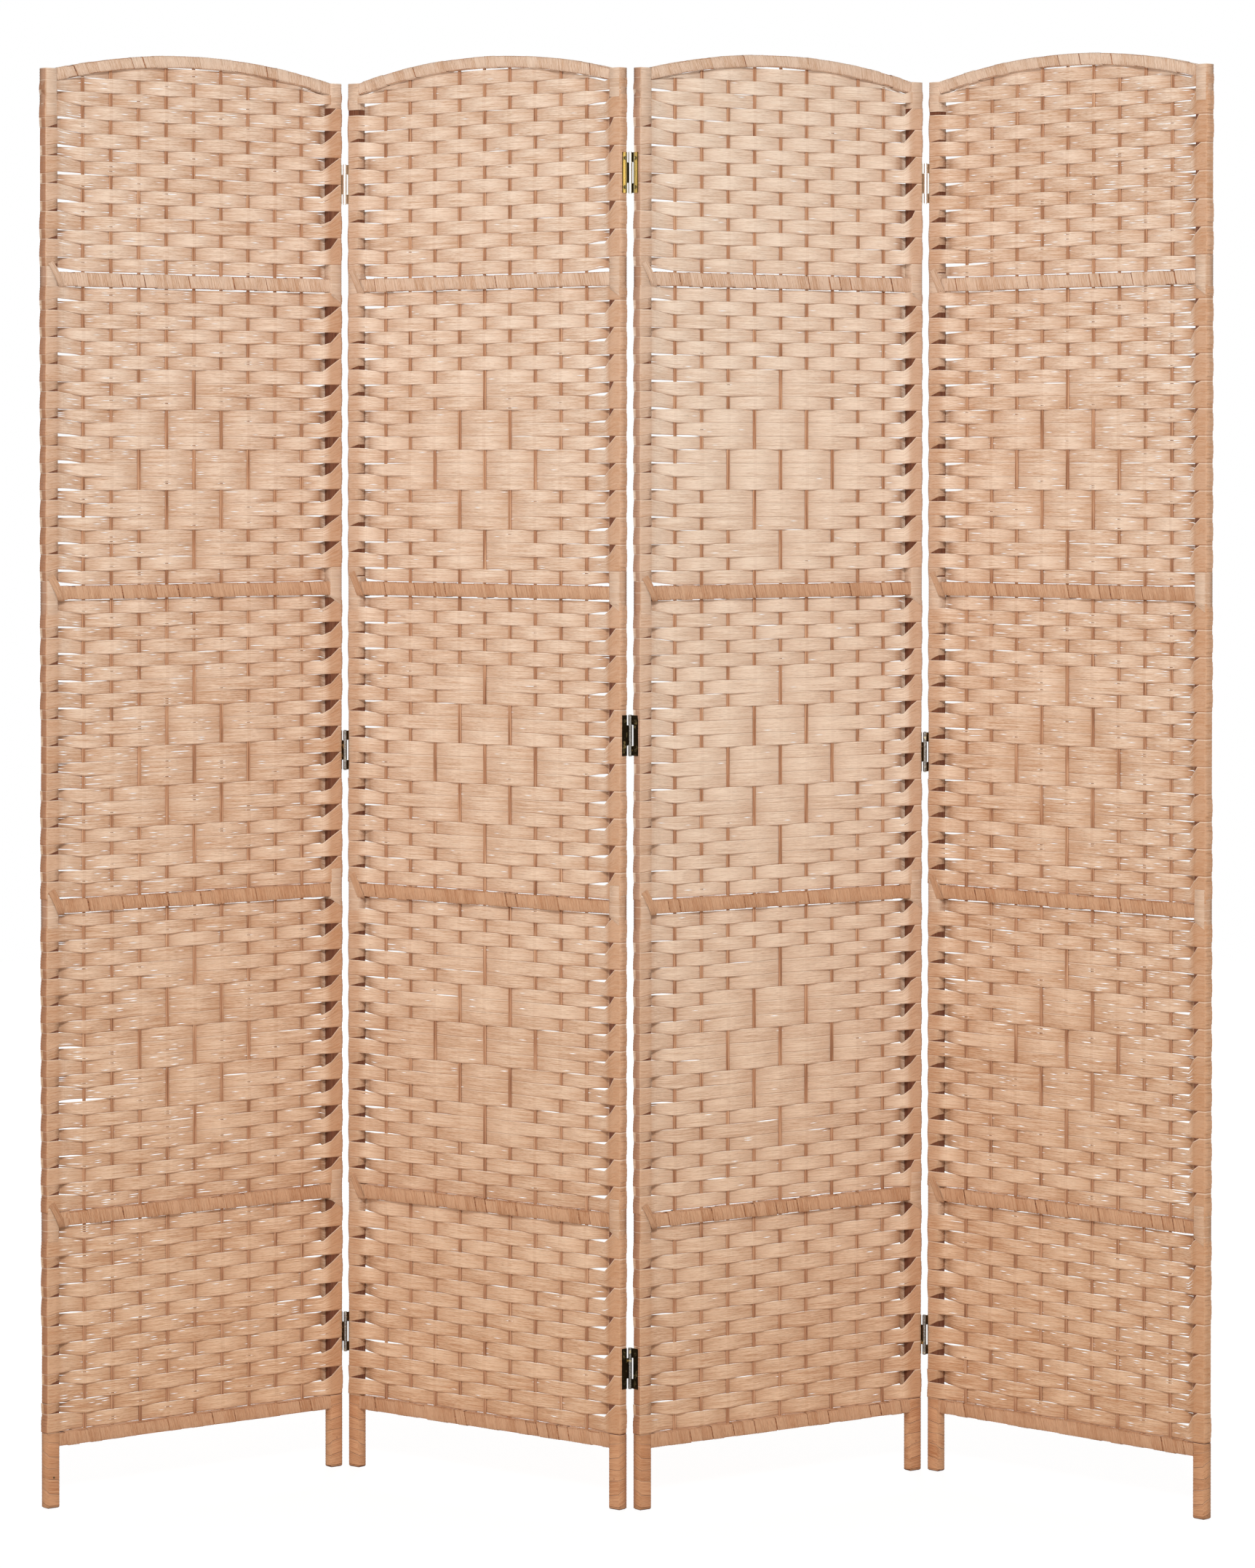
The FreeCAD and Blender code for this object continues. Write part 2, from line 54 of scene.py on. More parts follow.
class Signal:
    """A shader socket that Python's operators work on"""

    def __init__(self, finish, socket):
        self.finish = finish
        self.socket = socket

    def maths(self, operation, first, second):
        return self.finish.node("ShaderNodeMath", {"operation": operation}, {0: first, 1: second})

    def __add__(self, other):
        return self.maths("ADD", self, other)

    def __sub__(self, other):
        return self.maths("SUBTRACT", self, other)

    def __rsub__(self, other):
        return self.maths("SUBTRACT", other, self)

    def __mul__(self, other):
        return self.maths("MULTIPLY", self, other)

    def __gt__(self, other):
        return self.maths("GREATER_THAN", self, other)

    def __lt__(self, other):
        return self.maths("LESS_THAN", self, other)

    def at_most(self, limit):
        return self.maths("MINIMUM", self, limit)

    __radd__ = __add__
    __rmul__ = __mul__


class Finish:
    """A material in the making"""

    def __init__(self, name, **steady):
        self.material = bpy.data.materials.new(name)
        self.material.use_nodes = True
        self.tree = self.material.node_tree
        self.shader = self.tree.nodes["Principled BSDF"]
        for socket, value in steady.items():
            self.shader.inputs[socket.replace("_", " ")].default_value = value

    def feed(self, socket, value):
        if isinstance(value, Signal):
            self.tree.links.new(value.socket, socket)
        else:
            socket.default_value = value

    def node(self, kind, settings=None, inputs=None, output=0):
        node = self.tree.nodes.new(kind)
        for key, value in (settings or {}).items():
            if key == "stops":
                self.set_stops(node.color_ramp, value)
            else:
                setattr(node, key, value)
        for key, value in (inputs or {}).items():
            self.feed(node.inputs[key], value)
        return Signal(self, node.outputs[output])

    def set_stops(self, ramp, stops):
        for place, colour in stops[2:]:
            ramp.elements.new(place)
        for element, (place, colour) in zip(ramp.elements, stops):
            element.position = place
            element.color = (*colour, 1)

    def coords(self, kind):
        return self.node("ShaderNodeTexCoord", output=kind)

    def part(self, vector, axis):
        return self.node("ShaderNodeSeparateXYZ", inputs={"Vector": vector}, output=axis)

    def own_value(self, layer):
        return self.node("ShaderNodeAttribute", {"attribute_name": layer}, output="Fac")

    def sign(self, value):
        return self.node("ShaderNodeMath", {"operation": "SIGN"}, {0: value})

    def shine(self, socket, value):
        self.feed(self.shader.inputs[socket], value)

    def blend(self, share, first, second, how="MIX"):
        settings = {"data_type": "RGBA", "clamp_factor": True, "blend_type": how}
        return self.node("ShaderNodeMix", settings, {0: share, 6: first, 7: second}, output=2)

    def stretched(self, vector, scale):
        return self.node("ShaderNodeMapping", inputs={"Vector": vector, "Scale": scale})

    def noise(self, vector, scale=1.0, detail=3.0):
        inputs = {"Vector": vector, "Scale": scale, "Detail": detail}
        return self.node("ShaderNodeTexNoise", inputs=inputs)

    def relief(self, height, depth):
        inputs = {"Height": height, "Distance": depth, "Strength": 1.0}
        self.shine("Normal", self.node("ShaderNodeBump", inputs=inputs))


WOOD_DARK = (0.091, 0.019, 0.006)
WOOD_MIDDLE = (0.38, 0.15, 0.06)
WOOD_LIGHT = (0.58, 0.29, 0.14)
WOOD_STOPS = ((0.33, WOOD_DARK), (0.50, WOOD_MIDDLE), (0.68, WOOD_LIGHT))
STREAK_SHARE, WOOD_PATCH_SHARE = 0.75, 0.25
WOOD_PATCHES = 22.0
GRAIN_RELIEF = 0.0006
FACES_UP = 0.5


def sawn_wood(name, grain_scale, stops=WOOD_STOPS, painted_side_shade=0.0):
    """Bare wood, its grain along the axis with the small scale, its sides darkened by painted shade"""
    finish = Finish(name, Roughness=0.72)
    place = finish.coords("Object")
    streaks = finish.noise(finish.stretched(place, grain_scale), detail=5.0)
    patches = finish.noise(place, scale=WOOD_PATCHES, detail=2.0)
    shade = streaks * STREAK_SHARE + patches * WOOD_PATCH_SHARE
    colour = finish.node("ShaderNodeValToRGB", {"stops": stops}, {"Fac": shade})
    off_end = 1 - finish.part(finish.coords("Normal"), 2)
    # Painted shade: every face but the ends is blended towards WOOD_DARK
    side = (off_end > FACES_UP) * painted_side_shade
    finish.shine("Base Color", finish.blend(side, colour, (*WOOD_DARK, 1)))
    finish.relief(streaks, GRAIN_RELIEF)
    return finish.material


def dress(nodes, material):
    """Give CAD nodes their finish"""
    for node in nodes:
        mesh = frame["nodes"][node].data
        mesh.materials.clear()
        mesh.materials.append(material)


PANELS = ("panel_1", "panel_2", "panel_3", "panel_4")
RAIL_NODES = ("top_rail", "cross_rail_1", "cross_rail_2", "cross_rail_3", "cross_rail_4",
              "bottom_rail")
UPRIGHT_GRAIN = (420, 420, 14)
LEVEL_GRAIN = (40, 40, 420)
dress([f"{panel}_{side}_post" for panel in PANELS for side in ("left", "right")],
      sawn_wood("post_wood", UPRIGHT_GRAIN, painted_side_shade=0.80))
dress([f"{panel}_{rail}" for panel in PANELS for rail in RAIL_NODES],
      sawn_wood("rail_wood", LEVEL_GRAIN))


# Stakes: nine pairs of thin split rods in each panel, seated in the top and bottom rails. They
# are a shade redder than the frame and show as short brown bars wherever a band runs behind them.

ROD_GRAIN = (600, 600, 18)
ROD_STOPS = ((0.32, (0.20, 0.075, 0.028)), (0.48, (0.39, 0.18, 0.088)), (0.66, (0.58, 0.33, 0.19)))
dress([f"{panel}_stakes" for panel in PANELS], sawn_wood("rod_wood", ROD_GRAIN, ROD_STOPS))


# Woven bands: flat bands of twisted paper strings, woven row by row in front of and behind the
# stakes. At a post a band turns round the outer side, drops a row and comes back on the panel's
# other face; at a left post it is wound once more round the post before it goes back.

PANEL_WIDTH = 0.450
SLEEVE_WIDTH = 0.0181
POST_TOP = 1.776
CREST = 1.800
ARCH_SKIN = 0.0008
STRAIGHT_RAILS = (0.084, 0.356, 0.743, 1.130, 1.517)
HALF_RAIL = 0.0088
ARCH_BELOW = 0.0150
ARCH_TUCK = 0.0138
POST_INSIDE = 0.0173
STAKE_COUNT = 9
STRINGS = 6
BAND_ON_STAKE = 0.00165
BAND_ON_POST = 0.00665
UP = Vector((0, 0, 1))

feet = [Vector(mount["pos_m"]) for mount in frame["record"]["mounts"]]
panel_places = []
for left_foot, right_foot in zip(feet[0::2], feet[1::2]):
    along = (right_foot - left_foot).normalized()
    turn = Matrix.Rotation(math.atan2(along.y, along.x), 4, "Z")
    panel_places.append(Matrix.Translation(left_foot - along * SLEEVE_WIDTH / 2) @ turn)

stake_pitch = (PANEL_WIDTH - 2 * POST_INSIDE) / (STAKE_COUNT + 1)

arch_half_span = PANEL_WIDTH / 2 - POST_INSIDE
arch_rise = CREST - POST_TOP
arch_radius = (arch_half_span ** 2 + arch_rise ** 2) / (2 * arch_rise)
arch_centre = CREST - ARCH_SKIN - arch_radius


def arch_level(x, below):
    """Height of a line that runs below the arch's outer edge"""
    reach = min(abs(x - PANEL_WIDTH / 2), arch_half_span)
    return arch_centre + math.sqrt((arch_radius - below) ** 2 - reach ** 2)


LIGHT_PAPER = (0.865, 0.68, 0.535, 1)
TAN_PAPER = (0.54, 0.31, 0.18, 1)
PAINTED_SHADE_PAPER = (0.50, 0.245, 0.118, 1)
DEEP_SHADE_PAPER = (0.24, 0.065, 0.022, 1)
WARM_TINT = (0.84, 0.63, 0.42, 1)
SEAM_SHADOW_BROWN = (0.30, 0.115, 0.045, 1)
PALE_AND_HIGHLIGHT_PAPER = (0.95, 0.84, 0.70, 1)
# Each pattern in the paper: its scale along and across the strings, and its weight in the shade
LINES, LINES_WEIGHT = (26, 3.1), 2.5
FIBRES, FIBRES_WEIGHT = (140, 7.5), 1.8
PATCHES, PATCHES_WEIGHT = (16, 0.45), 1.1
TONE_WEIGHT = 0.5
SHADE_OFFSET = 2.68
# Warmth going down: the share at a level, its growth a metre below it, the most and the tint
WARM_LEVEL = 1.45
BAND_WARMTH = (0.0, 0.45, 1.0, WARM_TINT)
# Colour, width in strings and share of a marked edge: a painted shadow along a band's low edge and a painted
# highlight along its top edge
LOW_SEAM_SHADOW = (SEAM_SHADOW_BROWN, 0.28, 0.45)
TOP_EDGE_HIGHLIGHT = (PALE_AND_HIGHLIGHT_PAPER, 0.24, 0.35)
# Depths, which set the painted shade: 1 behind a stake, -1 in front of one, and more where the paper lies in shade
# at a post
CREASE_DEPTH, CREASE_SHADE_SHARE = -0.92, 0.13
PAINTED_SHADE_LIMIT, PAINTED_SHADE_SHARE = 2.4, 0.45
DEEP_SHADE_FROM, DEEP_SHADE_RATE = 2.3, 0.60
ON_POST, POST_PALENESS = 1.2, 0.5
PALE_BY_LEVEL = 1.2
FIBRE_RELIEF = 0.6
PAPER_RELIEF = 0.0009


def paper(name, strings, warmth=BAND_WARMTH, fineness=1.0, low_edge=LOW_SEAM_SHADOW,
          high_edge=TOP_EDGE_HIGHLIGHT, paleness=0.0):
    """Twisted paper: fine lines along the strings, uneven tone, marked edges (by default a painted
    highlight along the top edge and a painted shadow along the low one), painted shade where a band
    dives behind a stake, at the posts and along the crease in front of a stake, and a warmer colour
    lower down"""
    finish = Finish(name, Roughness=0.80, Specular_IOR_Level=0.22)
    along = finish.node("ShaderNodeUVMap", {"uv_map": "along"})
    tone, depth, seed = (finish.own_value(layer) for layer in ("tone", "depth", "seed"))
    level = finish.part(finish.coords("Object"), 2)
    facing = finish.part(finish.coords("Normal"), 1)
    string = finish.part(along, 1)
    shift = finish.node("ShaderNodeCombineXYZ", inputs={2: seed})
    seat = finish.node("ShaderNodeVectorMath", {"operation": "ADD"}, {0: along, 1: shift})
    lines = finish.noise(finish.stretched(seat, (LINES[0], LINES[1] * fineness, 1)), detail=4.0)
    fibres = finish.noise(finish.stretched(seat, (FIBRES[0], FIBRES[1] * fineness, 1)), detail=2.0)
    patches = finish.noise(finish.stretched(seat, (*PATCHES, 1)), detail=2.0)
    shade = lines * LINES_WEIGHT + fibres * FIBRES_WEIGHT + patches * PATCHES_WEIGHT
    shade = shade + tone * TONE_WEIGHT - SHADE_OFFSET
    colour = finish.blend(shade, LIGHT_PAPER, TAN_PAPER)
    base, slope, most, tint = warmth
    warm = ((WARM_LEVEL - level) * slope + base).at_most(most)
    colour = finish.blend(warm, colour, tint, "MULTIPLY")
    # Painted shade: the depth, turned to the face that is seen, darkens the paper behind the stakes and at the
    # posts
    seen_depth = depth * finish.sign(facing) * -1.0
    # Painted shade along the crease where a band passes in front of a stake
    crease = (seen_depth < CREASE_DEPTH) * CREASE_SHADE_SHARE
    painted_shade = (0.5 + 0.5 * seen_depth.at_most(PAINTED_SHADE_LIMIT)) * PAINTED_SHADE_SHARE + crease
    colour = finish.blend(painted_shade, colour, PAINTED_SHADE_PAPER)
    # Deeper painted shade where a band passes behind a right post and on the posts' outer sides
    colour = finish.blend((seen_depth - DEEP_SHADE_FROM) * DEEP_SHADE_RATE, colour, DEEP_SHADE_PAPER)
    # Paleness is halved where the paper carries painted shade at a post
    off_post_shade = 1 - (seen_depth > ON_POST) * POST_PALENESS
    pale = (level * PALE_BY_LEVEL).at_most(1.0) * off_post_shade * paleness
    colour = finish.blend(pale, colour, PALE_AND_HIGHLIGHT_PAPER)
    # The marked edges, by default a painted highlight along the top edge and a painted shadow along the low one
    for edge, marked in ((high_edge, string > strings - high_edge[1]),
                         (low_edge, string < low_edge[1])):
        colour = finish.blend(marked * edge[2], colour, edge[0])
    finish.shine("Base Color", colour)
    finish.relief(lines + fibres * FIBRE_RELIEF, PAPER_RELIEF)
    return finish.material


STRING_SIDES = 4
HALF_STRING = 0.49
STRING_THICKNESS = 0.0005
FULL_WIDTH_STRING = 0.0012
NEAR = 0.1
STEP_ALONG = 0.01
RIBBON_SEED = 0.0113


def ribbon_template(strings, steps):
    """A flat ribbon of strings: x counts steps along it, y is its thickness, z counts strings"""
    bm = bmesh.new()
    lay_down = Matrix.Rotation(math.pi / 2, 4, "Y")
    for string in range(strings):
        middle = Matrix.Translation((steps / 2, 0, string + 0.5))
        bmesh.ops.create_cone(bm, cap_ends=True, segments=STRING_SIDES, radius1=HALF_STRING,
                              radius2=HALF_STRING, depth=steps, matrix=middle @ lay_down)
    ribs = [e for e in bm.edges if abs(e.verts[0].co.x - e.verts[1].co.x) > NEAR]
    bmesh.ops.subdivide_edges(bm, edges=ribs, cuts=steps - 1)
    for edge in bm.edges:
        start, end = (vert.co for vert in edge.verts)
        in_valley = abs(start.y) < NEAR and abs(end.y) < NEAR
        on_cap = abs(start.x - end.x) < NEAR and not NEAR < start.x < steps - NEAR
        edge.smooth = not in_valley and not on_cap
    for face in bm.faces:
        face.smooth = True
    uv = bm.loops.layers.uv.new("along")
    for face in bm.faces:
        for loop in face.loops:
            loop[uv].uv = (loop.vert.co.x * STEP_ALONG, loop.vert.co.z)
    template = bpy.data.meshes.new("ribbon_template")
    bm.to_mesh(template)
    bm.free()
    return template


templates = {}


def lay_ribbon(bm, strings, stations):
    """Bend a ribbon through stations. Each has its origin, its direction across the ribbon, its
    outward side, the low edge, high edge and lift of every string, its tone and its depth"""
    steps = len(stations) - 1
    if (strings, steps) not in templates:
        templates[strings, steps] = ribbon_template(strings, steps)
    tone_layer, depth_layer, seed_layer = (
        bm.verts.layers.float.get(layer) or bm.verts.layers.float.new(layer)
        for layer in ("tone", "depth", "seed"))
    first = len(bm.verts)
    bm.from_mesh(templates[strings, steps])
    bm.verts.ensure_lookup_table()
    for index in range(first, len(bm.verts)):
        vert = bm.verts[index]
        face, height = vert.co.y, vert.co.z
        origin, across, outward, edges, tone, depth = stations[round(vert.co.x)]
        low, high, lift = edges[int(height)]
        reach = low + (high - low) * ((height - int(height) - 0.5) / (2 * HALF_STRING) + 0.5)
        thickness = STRING_THICKNESS * min(1.0, (high - low) / FULL_WIDTH_STRING)
        vert.co = origin + across * reach + outward * (face * thickness + lift)
        vert[tone_layer] = tone
        vert[depth_layer] = depth
        vert[seed_layer] = first * RIBBON_SEED


def even_edges(strings, low, high):
    """Strings of equal width between two edges"""
    width = (high - low) / strings
    return [(low + width * string, low + width * (string + 1), 0.0) for string in range(strings)]


def new_piece(name, bm, place, material, body, slot, *replaced):
    """Stand a finished mesh in its panel's place and hand it to its body"""
    bmesh.ops.recalc_face_normals(bm, faces=bm.faces)
    bmesh.ops.transform(bm, matrix=place, verts=bm.verts)
    mesh = bpy.data.meshes.new(name)
    bm.to_mesh(mesh)
    bm.free()
    mesh.materials.append(material)
    piece = bpy.data.objects.new(name, mesh)
    bpy.context.scene.collection.objects.link(piece)
    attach(piece, body)
    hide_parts(*replaced)


def diamond(first_row):
    """Rows whose floats draw the diamond, with the stakes that each leaves showing"""
    shown = ((2, 5, 8), (1, 4, 6, 9), (3, 5, 7), (1, 4, 6, 9), (2, 5, 8))
    return {first_row + 3 * place: stakes for place, stakes in enumerate(shown)}


# name, rail below, rows, whether the top row runs behind the posts, rows with floats
SECTIONS = (
    ("arched", 4, 15, True, {}),
    ("upper", 3, 22, False, diamond(8)),
    ("middle", 2, 22, True, diamond(7)),
    ("lower", 1, 22, True, diamond(5)),
    ("bottom", 0, 14, True, {}),
)
RAIL_GAP = 0.0009
THINNEST_ROW = 0.0032


def row_level(section, count, above_bottom, x):
    """Height of a seam between rows; under the arch the top rows are crowded towards the posts"""
    low = STRAIGHT_RAILS[section] + HALF_RAIL + RAIL_GAP
    if section < len(STRAIGHT_RAILS) - 1:
        high = STRAIGHT_RAILS[section + 1] - HALF_RAIL - RAIL_GAP
        return low + (high - low) * above_bottom / count
    crown = arch_level(PANEL_WIDTH / 2, ARCH_BELOW) - RAIL_GAP
    level = low + (crown - low) * above_bottom / count
    cap = arch_level(x, ARCH_TUCK) - (count - above_bottom) * THINNEST_ROW
    return min(level, cap)


def sides_of(row, behind_posts, floats):
    """On which side of each upright a row passes: 1 behind it, -1 in front"""
    flip = 1 if behind_posts else -1
    sides = [flip if upright % 2 == 0 else -flip for upright in range(STAKE_COUNT + 2)]
    if row in floats:
        sides[1:-1] = [1 if stake in floats[row] else -1 for stake in range(1, STAKE_COUNT + 1)]
    return sides


def rounded(share):
    return share * share * (3 - 2 * share)


def gap_depth(gap, share, sides):
    """How far back a band lies between two uprights"""
    start = sides[gap] * (BAND_ON_POST if gap == 0 else BAND_ON_STAKE)
    end = sides[gap + 1] * (BAND_ON_POST if gap == STAKE_COUNT else BAND_ON_STAKE)
    if gap == 0:
        ease = 1 - (1 - share) ** 2
    elif gap == STAKE_COUNT:
        ease = share ** 2
    else:
        ease = rounded(share)
    return start + (end - start) * ease


# Shares of strings parted by a short slit, at the left and the right side of each panel
SLIT_SHARES = ((0.120, 0.030), (0.016, 0.010), (0.008, 0.010), (0.030, 0.120))
SLIT_HEIGHT = (0.0005, 0.0010)
SLIT_OVERLAP = 0.0005


def slit_heights(rng, count, shares):
    """Heights of the slits between two strings at each station, most of them closed"""
    left, right = shares
    heights = []
    for station in range(count):
        parted = rng.random() < left + (right - left) * station / count
        heights.append(rng.uniform(*SLIT_HEIGHT) if parted else -SLIT_OVERLAP)
    return heights


# Shares of the seams between rows that stand a little open, panel by panel
SLOT_SHARES = (0.05, 0.03, 0.04, 0.06)
SLOT_HEIGHTS = (0.0006, 0.0014)
ROW_WANDER = 0.0004
STAKE_WANDER = 0.00015
SEAM = -0.00005


def seam(rng, slot_share):
    """How far the seam between two rows wanders at every upright and opens between them"""
    whole = rng.uniform(-ROW_WANDER, ROW_WANDER)
    wander = [whole + rng.uniform(-STAKE_WANDER, STAKE_WANDER) for _ in range(STAKE_COUNT + 2)]
    slots = [rng.uniform(*SLOT_HEIGHTS) if rng.random() < slot_share else 0.0
             for _ in range(STAKE_COUNT + 1)]
    return wander, slots


def seam_edge(line, gap, share, side):
    """Offset of one side of a seam at a share of the gap between two uprights"""
    wander, slots = line
    middle = wander[gap] * (1 - share) + wander[gap + 1] * share
    return middle - side * (slots[gap] / 2 * math.sin(math.pi * share) ** 0.5 + SEAM)


# How far the bands bulge on a post's outer side, left and right, and under a hinge's leaf
BULGES = ((0.0015, 0.0014), (0.0014, 0.0014), (0.0014, 0.0014), (0.0014, 0.0015))
BULGE_UNDER_LEAF = 0.0003
HINGE_LEVELS = (0.174, 0.930, 1.647)
HINGE_REACH = 0.048
LEAST_TURN = 0.001


def post_edges(low, high, turn_low, turn_high, bulge):
    """Strings on a post, bulging in the middle of the turn, but not under a hinge's leaf"""
    edges = []
    if bulge and any(abs((low + high) / 2 - hinge) < HINGE_REACH for hinge in HINGE_LEVELS):
        bulge = BULGE_UNDER_LEAF
    for string_low, string_high, _ in even_edges(STRINGS, low, high):
        middle = (string_low + string_high) / 2
        place = (middle - turn_low) / max(turn_high - turn_low, LEAST_TURN)
        lift = bulge * math.sin(math.pi * min(max(place, 0), 1))
        edges.append((string_low, string_high, lift))
    return edges


def plan_stations(points, turned):
    """Outward sides along a path seen from above"""
    outwards = []
    for index in range(len(points)):
        before, after = points[max(index - 1, 0)], points[min(index + 1, len(points) - 1)]
        ahead = Vector((after[0] - before[0], after[1] - before[1])).normalized()
        outwards.append(Vector((ahead.y, -ahead.x, 0)) * turned)
    return outwards


# Steps from the outer side of a post over its face to its inner edge: distance from the panel's
# edge and share of the depth. A band that comes from the front laps over one from the back.
FRONT_TURN = ((0.0003, -0.85), (0.0003, 0.0), (0.0003, 0.90), (0.0009, 1.0))
BACK_TURN = ((0.0006, 0.0), (0.0006, 0.40), (0.0005, 0.90), (0.0009, 1.0))
ON_SIDE = 0.0009
FACE_EDGE = 0.0010
FACE_OUTSIDE = 0.0028
FACE_INSIDE = 0.0174
GAP_STEPS = 4
LAP = 0.0002
TOP_ROW_RISE = 0.0012
END_ROW_ROOM = 0.001
SLOT_WIDENS = 1.6
ROW_TONE, GAP_TONE = 0.55, 0.45
# Depths that set the painted shade: a left post's face, a right post, a post's outer side, the limits in the
# field, and the ramp that deepens the shade of a band diving behind the right post
POST_SHADOW = 1.3
RIGHT_SHADOW = 2.25
SIDE_SHADOW = 3.15
FIELD_DEPTHS = (-1.0, 1.6)
SHADE_RAMP_FROM, SHADE_RAMP_RATE = 0.3, 6.2
DEEPEST_SHADE = 4.0


def weave_row(bm, rng, panel, number, row, sides_above, sides, sides_below, seams, turns):
    """One row of a section, from the outer side of the left post to that of the right one"""
    _, section, count, _, _ = SECTIONS[number]
    behind = sides[0] > 0
    rise, _, lift, sink, right_rise, right_full, slot_above, slot_below, slot_reach = turns
    turn_steps = BACK_TURN if behind else FRONT_TURN
    gap_tones = [rng.uniform(0.0, 1.0) for _ in range(STAKE_COUNT + 3)]
    row_tone = rng.uniform(0.0, 1.0)
    field_steps = GAP_STEPS * (STAKE_COUNT + 1) - 1
    slits = [slit_heights(rng, field_steps, SLIT_SHARES[panel]) for _ in range(STRINGS - 1)]
    side = 1 if behind else -1
    points, stations = [], []

    def level_at(above_bottom, x):
        x = min(max(x, POST_INSIDE), PANEL_WIDTH - POST_INSIDE)
        return row_level(section, count, above_bottom, x)

    def add(x, y, edges, tone, depth):
        points.append((x, y))
        stations.append((edges, ROW_TONE * row_tone + GAP_TONE * tone, depth))

    top, low = level_at(count - row, 0), level_at(count - row - 1, 0)
    pitch = top - low
    up_share = min(rise * pitch, TOP_ROW_RISE) if row == 0 else rise * pitch
    left_face = [(x, share, 0.0) for x, share in turn_steps]
    left_face += [(FACE_OUTSIDE, 1.0, 0.0), ((FACE_OUTSIDE + FACE_INSIDE) / 2, 1.0, 0.5),
                  (FACE_INSIDE, 1.0, 1.0)]
    for x, depth_share, inside in left_face:
        if behind:
            high_edge, low_edge = top - sink * inside, low + rise * pitch
            turn_low, turn_high = low + rise * pitch, top + pitch
        else:
            high_edge, low_edge = top + up_share, low + lift * inside
            turn_low, turn_high = low - pitch, top + up_share
        bulge = BULGES[panel][0] if x < ON_SIDE else 0.0
        shadow = SIDE_SHADOW if x < ON_SIDE else POST_SHADOW
        edges = post_edges(low_edge, high_edge, turn_low, turn_high, bulge)
        add(x, side * BAND_ON_POST * depth_share, edges, gap_tones[0], -side * shadow)

    for station in range(1, field_steps + 1):
        gap, step = divmod(station, GAP_STEPS)
        share = step / GAP_STEPS
        x = POST_INSIDE + stake_pitch * (gap + share)
        y = gap_depth(gap, share, sides)
        high_edge, low_edge = level_at(count - row, x), level_at(count - row - 1, x)
        nearer, closeness = (gap if share < 0.5 else gap + 1), abs(2 * share - 1)
        high_edge += seam_edge(seams[row], gap, share, 1)
        low_edge += seam_edge(seams[row + 1], gap, share, -1)
        if sides_above[nearer] != sides[nearer]:
            high_edge += LAP * closeness
        if sides_below[nearer] != sides[nearer]:
            low_edge -= LAP * closeness
        from_left = max(0.0, 1 - (gap + share))
        slot_left = max(0.0, 1 - ((gap + share) / slot_reach) ** 2)
        if behind:
            high_edge -= sink * slot_left
            low_edge += rise * pitch * from_left
        else:
            high_edge += up_share * from_left
            low_edge += lift * slot_left
        if gap == STAKE_COUNT and behind:
            high_edge -= slot_above * min(1.0, share * SLOT_WIDENS)
            low_edge += slot_below * min(1.0, share * SLOT_WIDENS)
        edges = even_edges(STRINGS, low_edge, high_edge)
        for place in range(STRINGS - 1):
            half = slits[place][station - 1] / 2
            edges[place] = (edges[place][0], edges[place][1] - half, 0.0)
            edges[place + 1] = (edges[place + 1][0] + half, edges[place + 1][1], 0.0)
        tone = gap_tones[gap + 1] * (1 - share) + gap_tones[gap + 2] * share
        shallow, deep = FIELD_DEPTHS
        # Painted shade: a band that dives behind the right post gets a depth that grows over the last gap
        if gap == STAKE_COUNT and behind:
            dark = SHADE_RAMP_RATE * (share - SHADE_RAMP_FROM)
            depth = min(DEEPEST_SHADE, max(shallow, y / BAND_ON_STAKE, dark))
        else:
            depth = max(shallow, min(deep, y / BAND_ON_STAKE))
        add(x, y, edges, tone, depth)

    span = FACE_INSIDE - FACE_EDGE
    right_face = [(FACE_INSIDE, 1.0, right_rise),
                  (FACE_INSIDE - span * right_full / 2, 1.0, (1 + right_rise) / 2),
                  (FACE_INSIDE - span * right_full, 1.0, 1.0), (FACE_OUTSIDE, 1.0, 1.0)]
    right_face += [(x, share, 1.0) for x, share in reversed(turn_steps)]
    for x, depth_share, opened in right_face:
        high_edge, low_edge = top, low
        if behind:
            low_edge -= opened * pitch if row < count - 1 else END_ROW_ROOM
        else:
            high_edge += opened * pitch if row > 0 else END_ROW_ROOM
        bulge = BULGES[panel][1] if x < ON_SIDE else 0.0
        edges = post_edges(low_edge, high_edge, low_edge, high_edge, bulge)
        add(PANEL_WIDTH - x, side * BAND_ON_POST * depth_share, edges, gap_tones[-1],
            -side * RIGHT_SHADOW)

    outwards = plan_stations(points, 1)
    lay_ribbon(bm, STRINGS, [(Vector((x, y, 0)), UP, outward, *station)
                             for (x, y), outward, station in zip(points, outwards, stations)])


# The extra turn round a left post: distance from the panel's edge, share of the depth, and how far
# the turn has come from the outer side to the inner one
EXTRA_TURN = ((0.0008, 0.0, 0.0), (0.0008, 0.95, 0.0), (0.0098, 0.955, 0.5), (0.0172, 0.95, 1.0),
              (0.0179, 0.0, 1.0), (0.0174, -0.97, 1.0), (0.0100, -1.0, 0.5), (0.0028, -1.0, 0.0),
              (0.0009, -1.0, 0.0), (0.0003, -0.90, 0.0), (0.0003, 0.0, 0.0), (0.0003, 0.85, 0.0))
EXTRA_TURN_FALLS = 4
LAST_TURN_ROOM = 0.003
EXTRA_TONES = (0.3, 0.7)


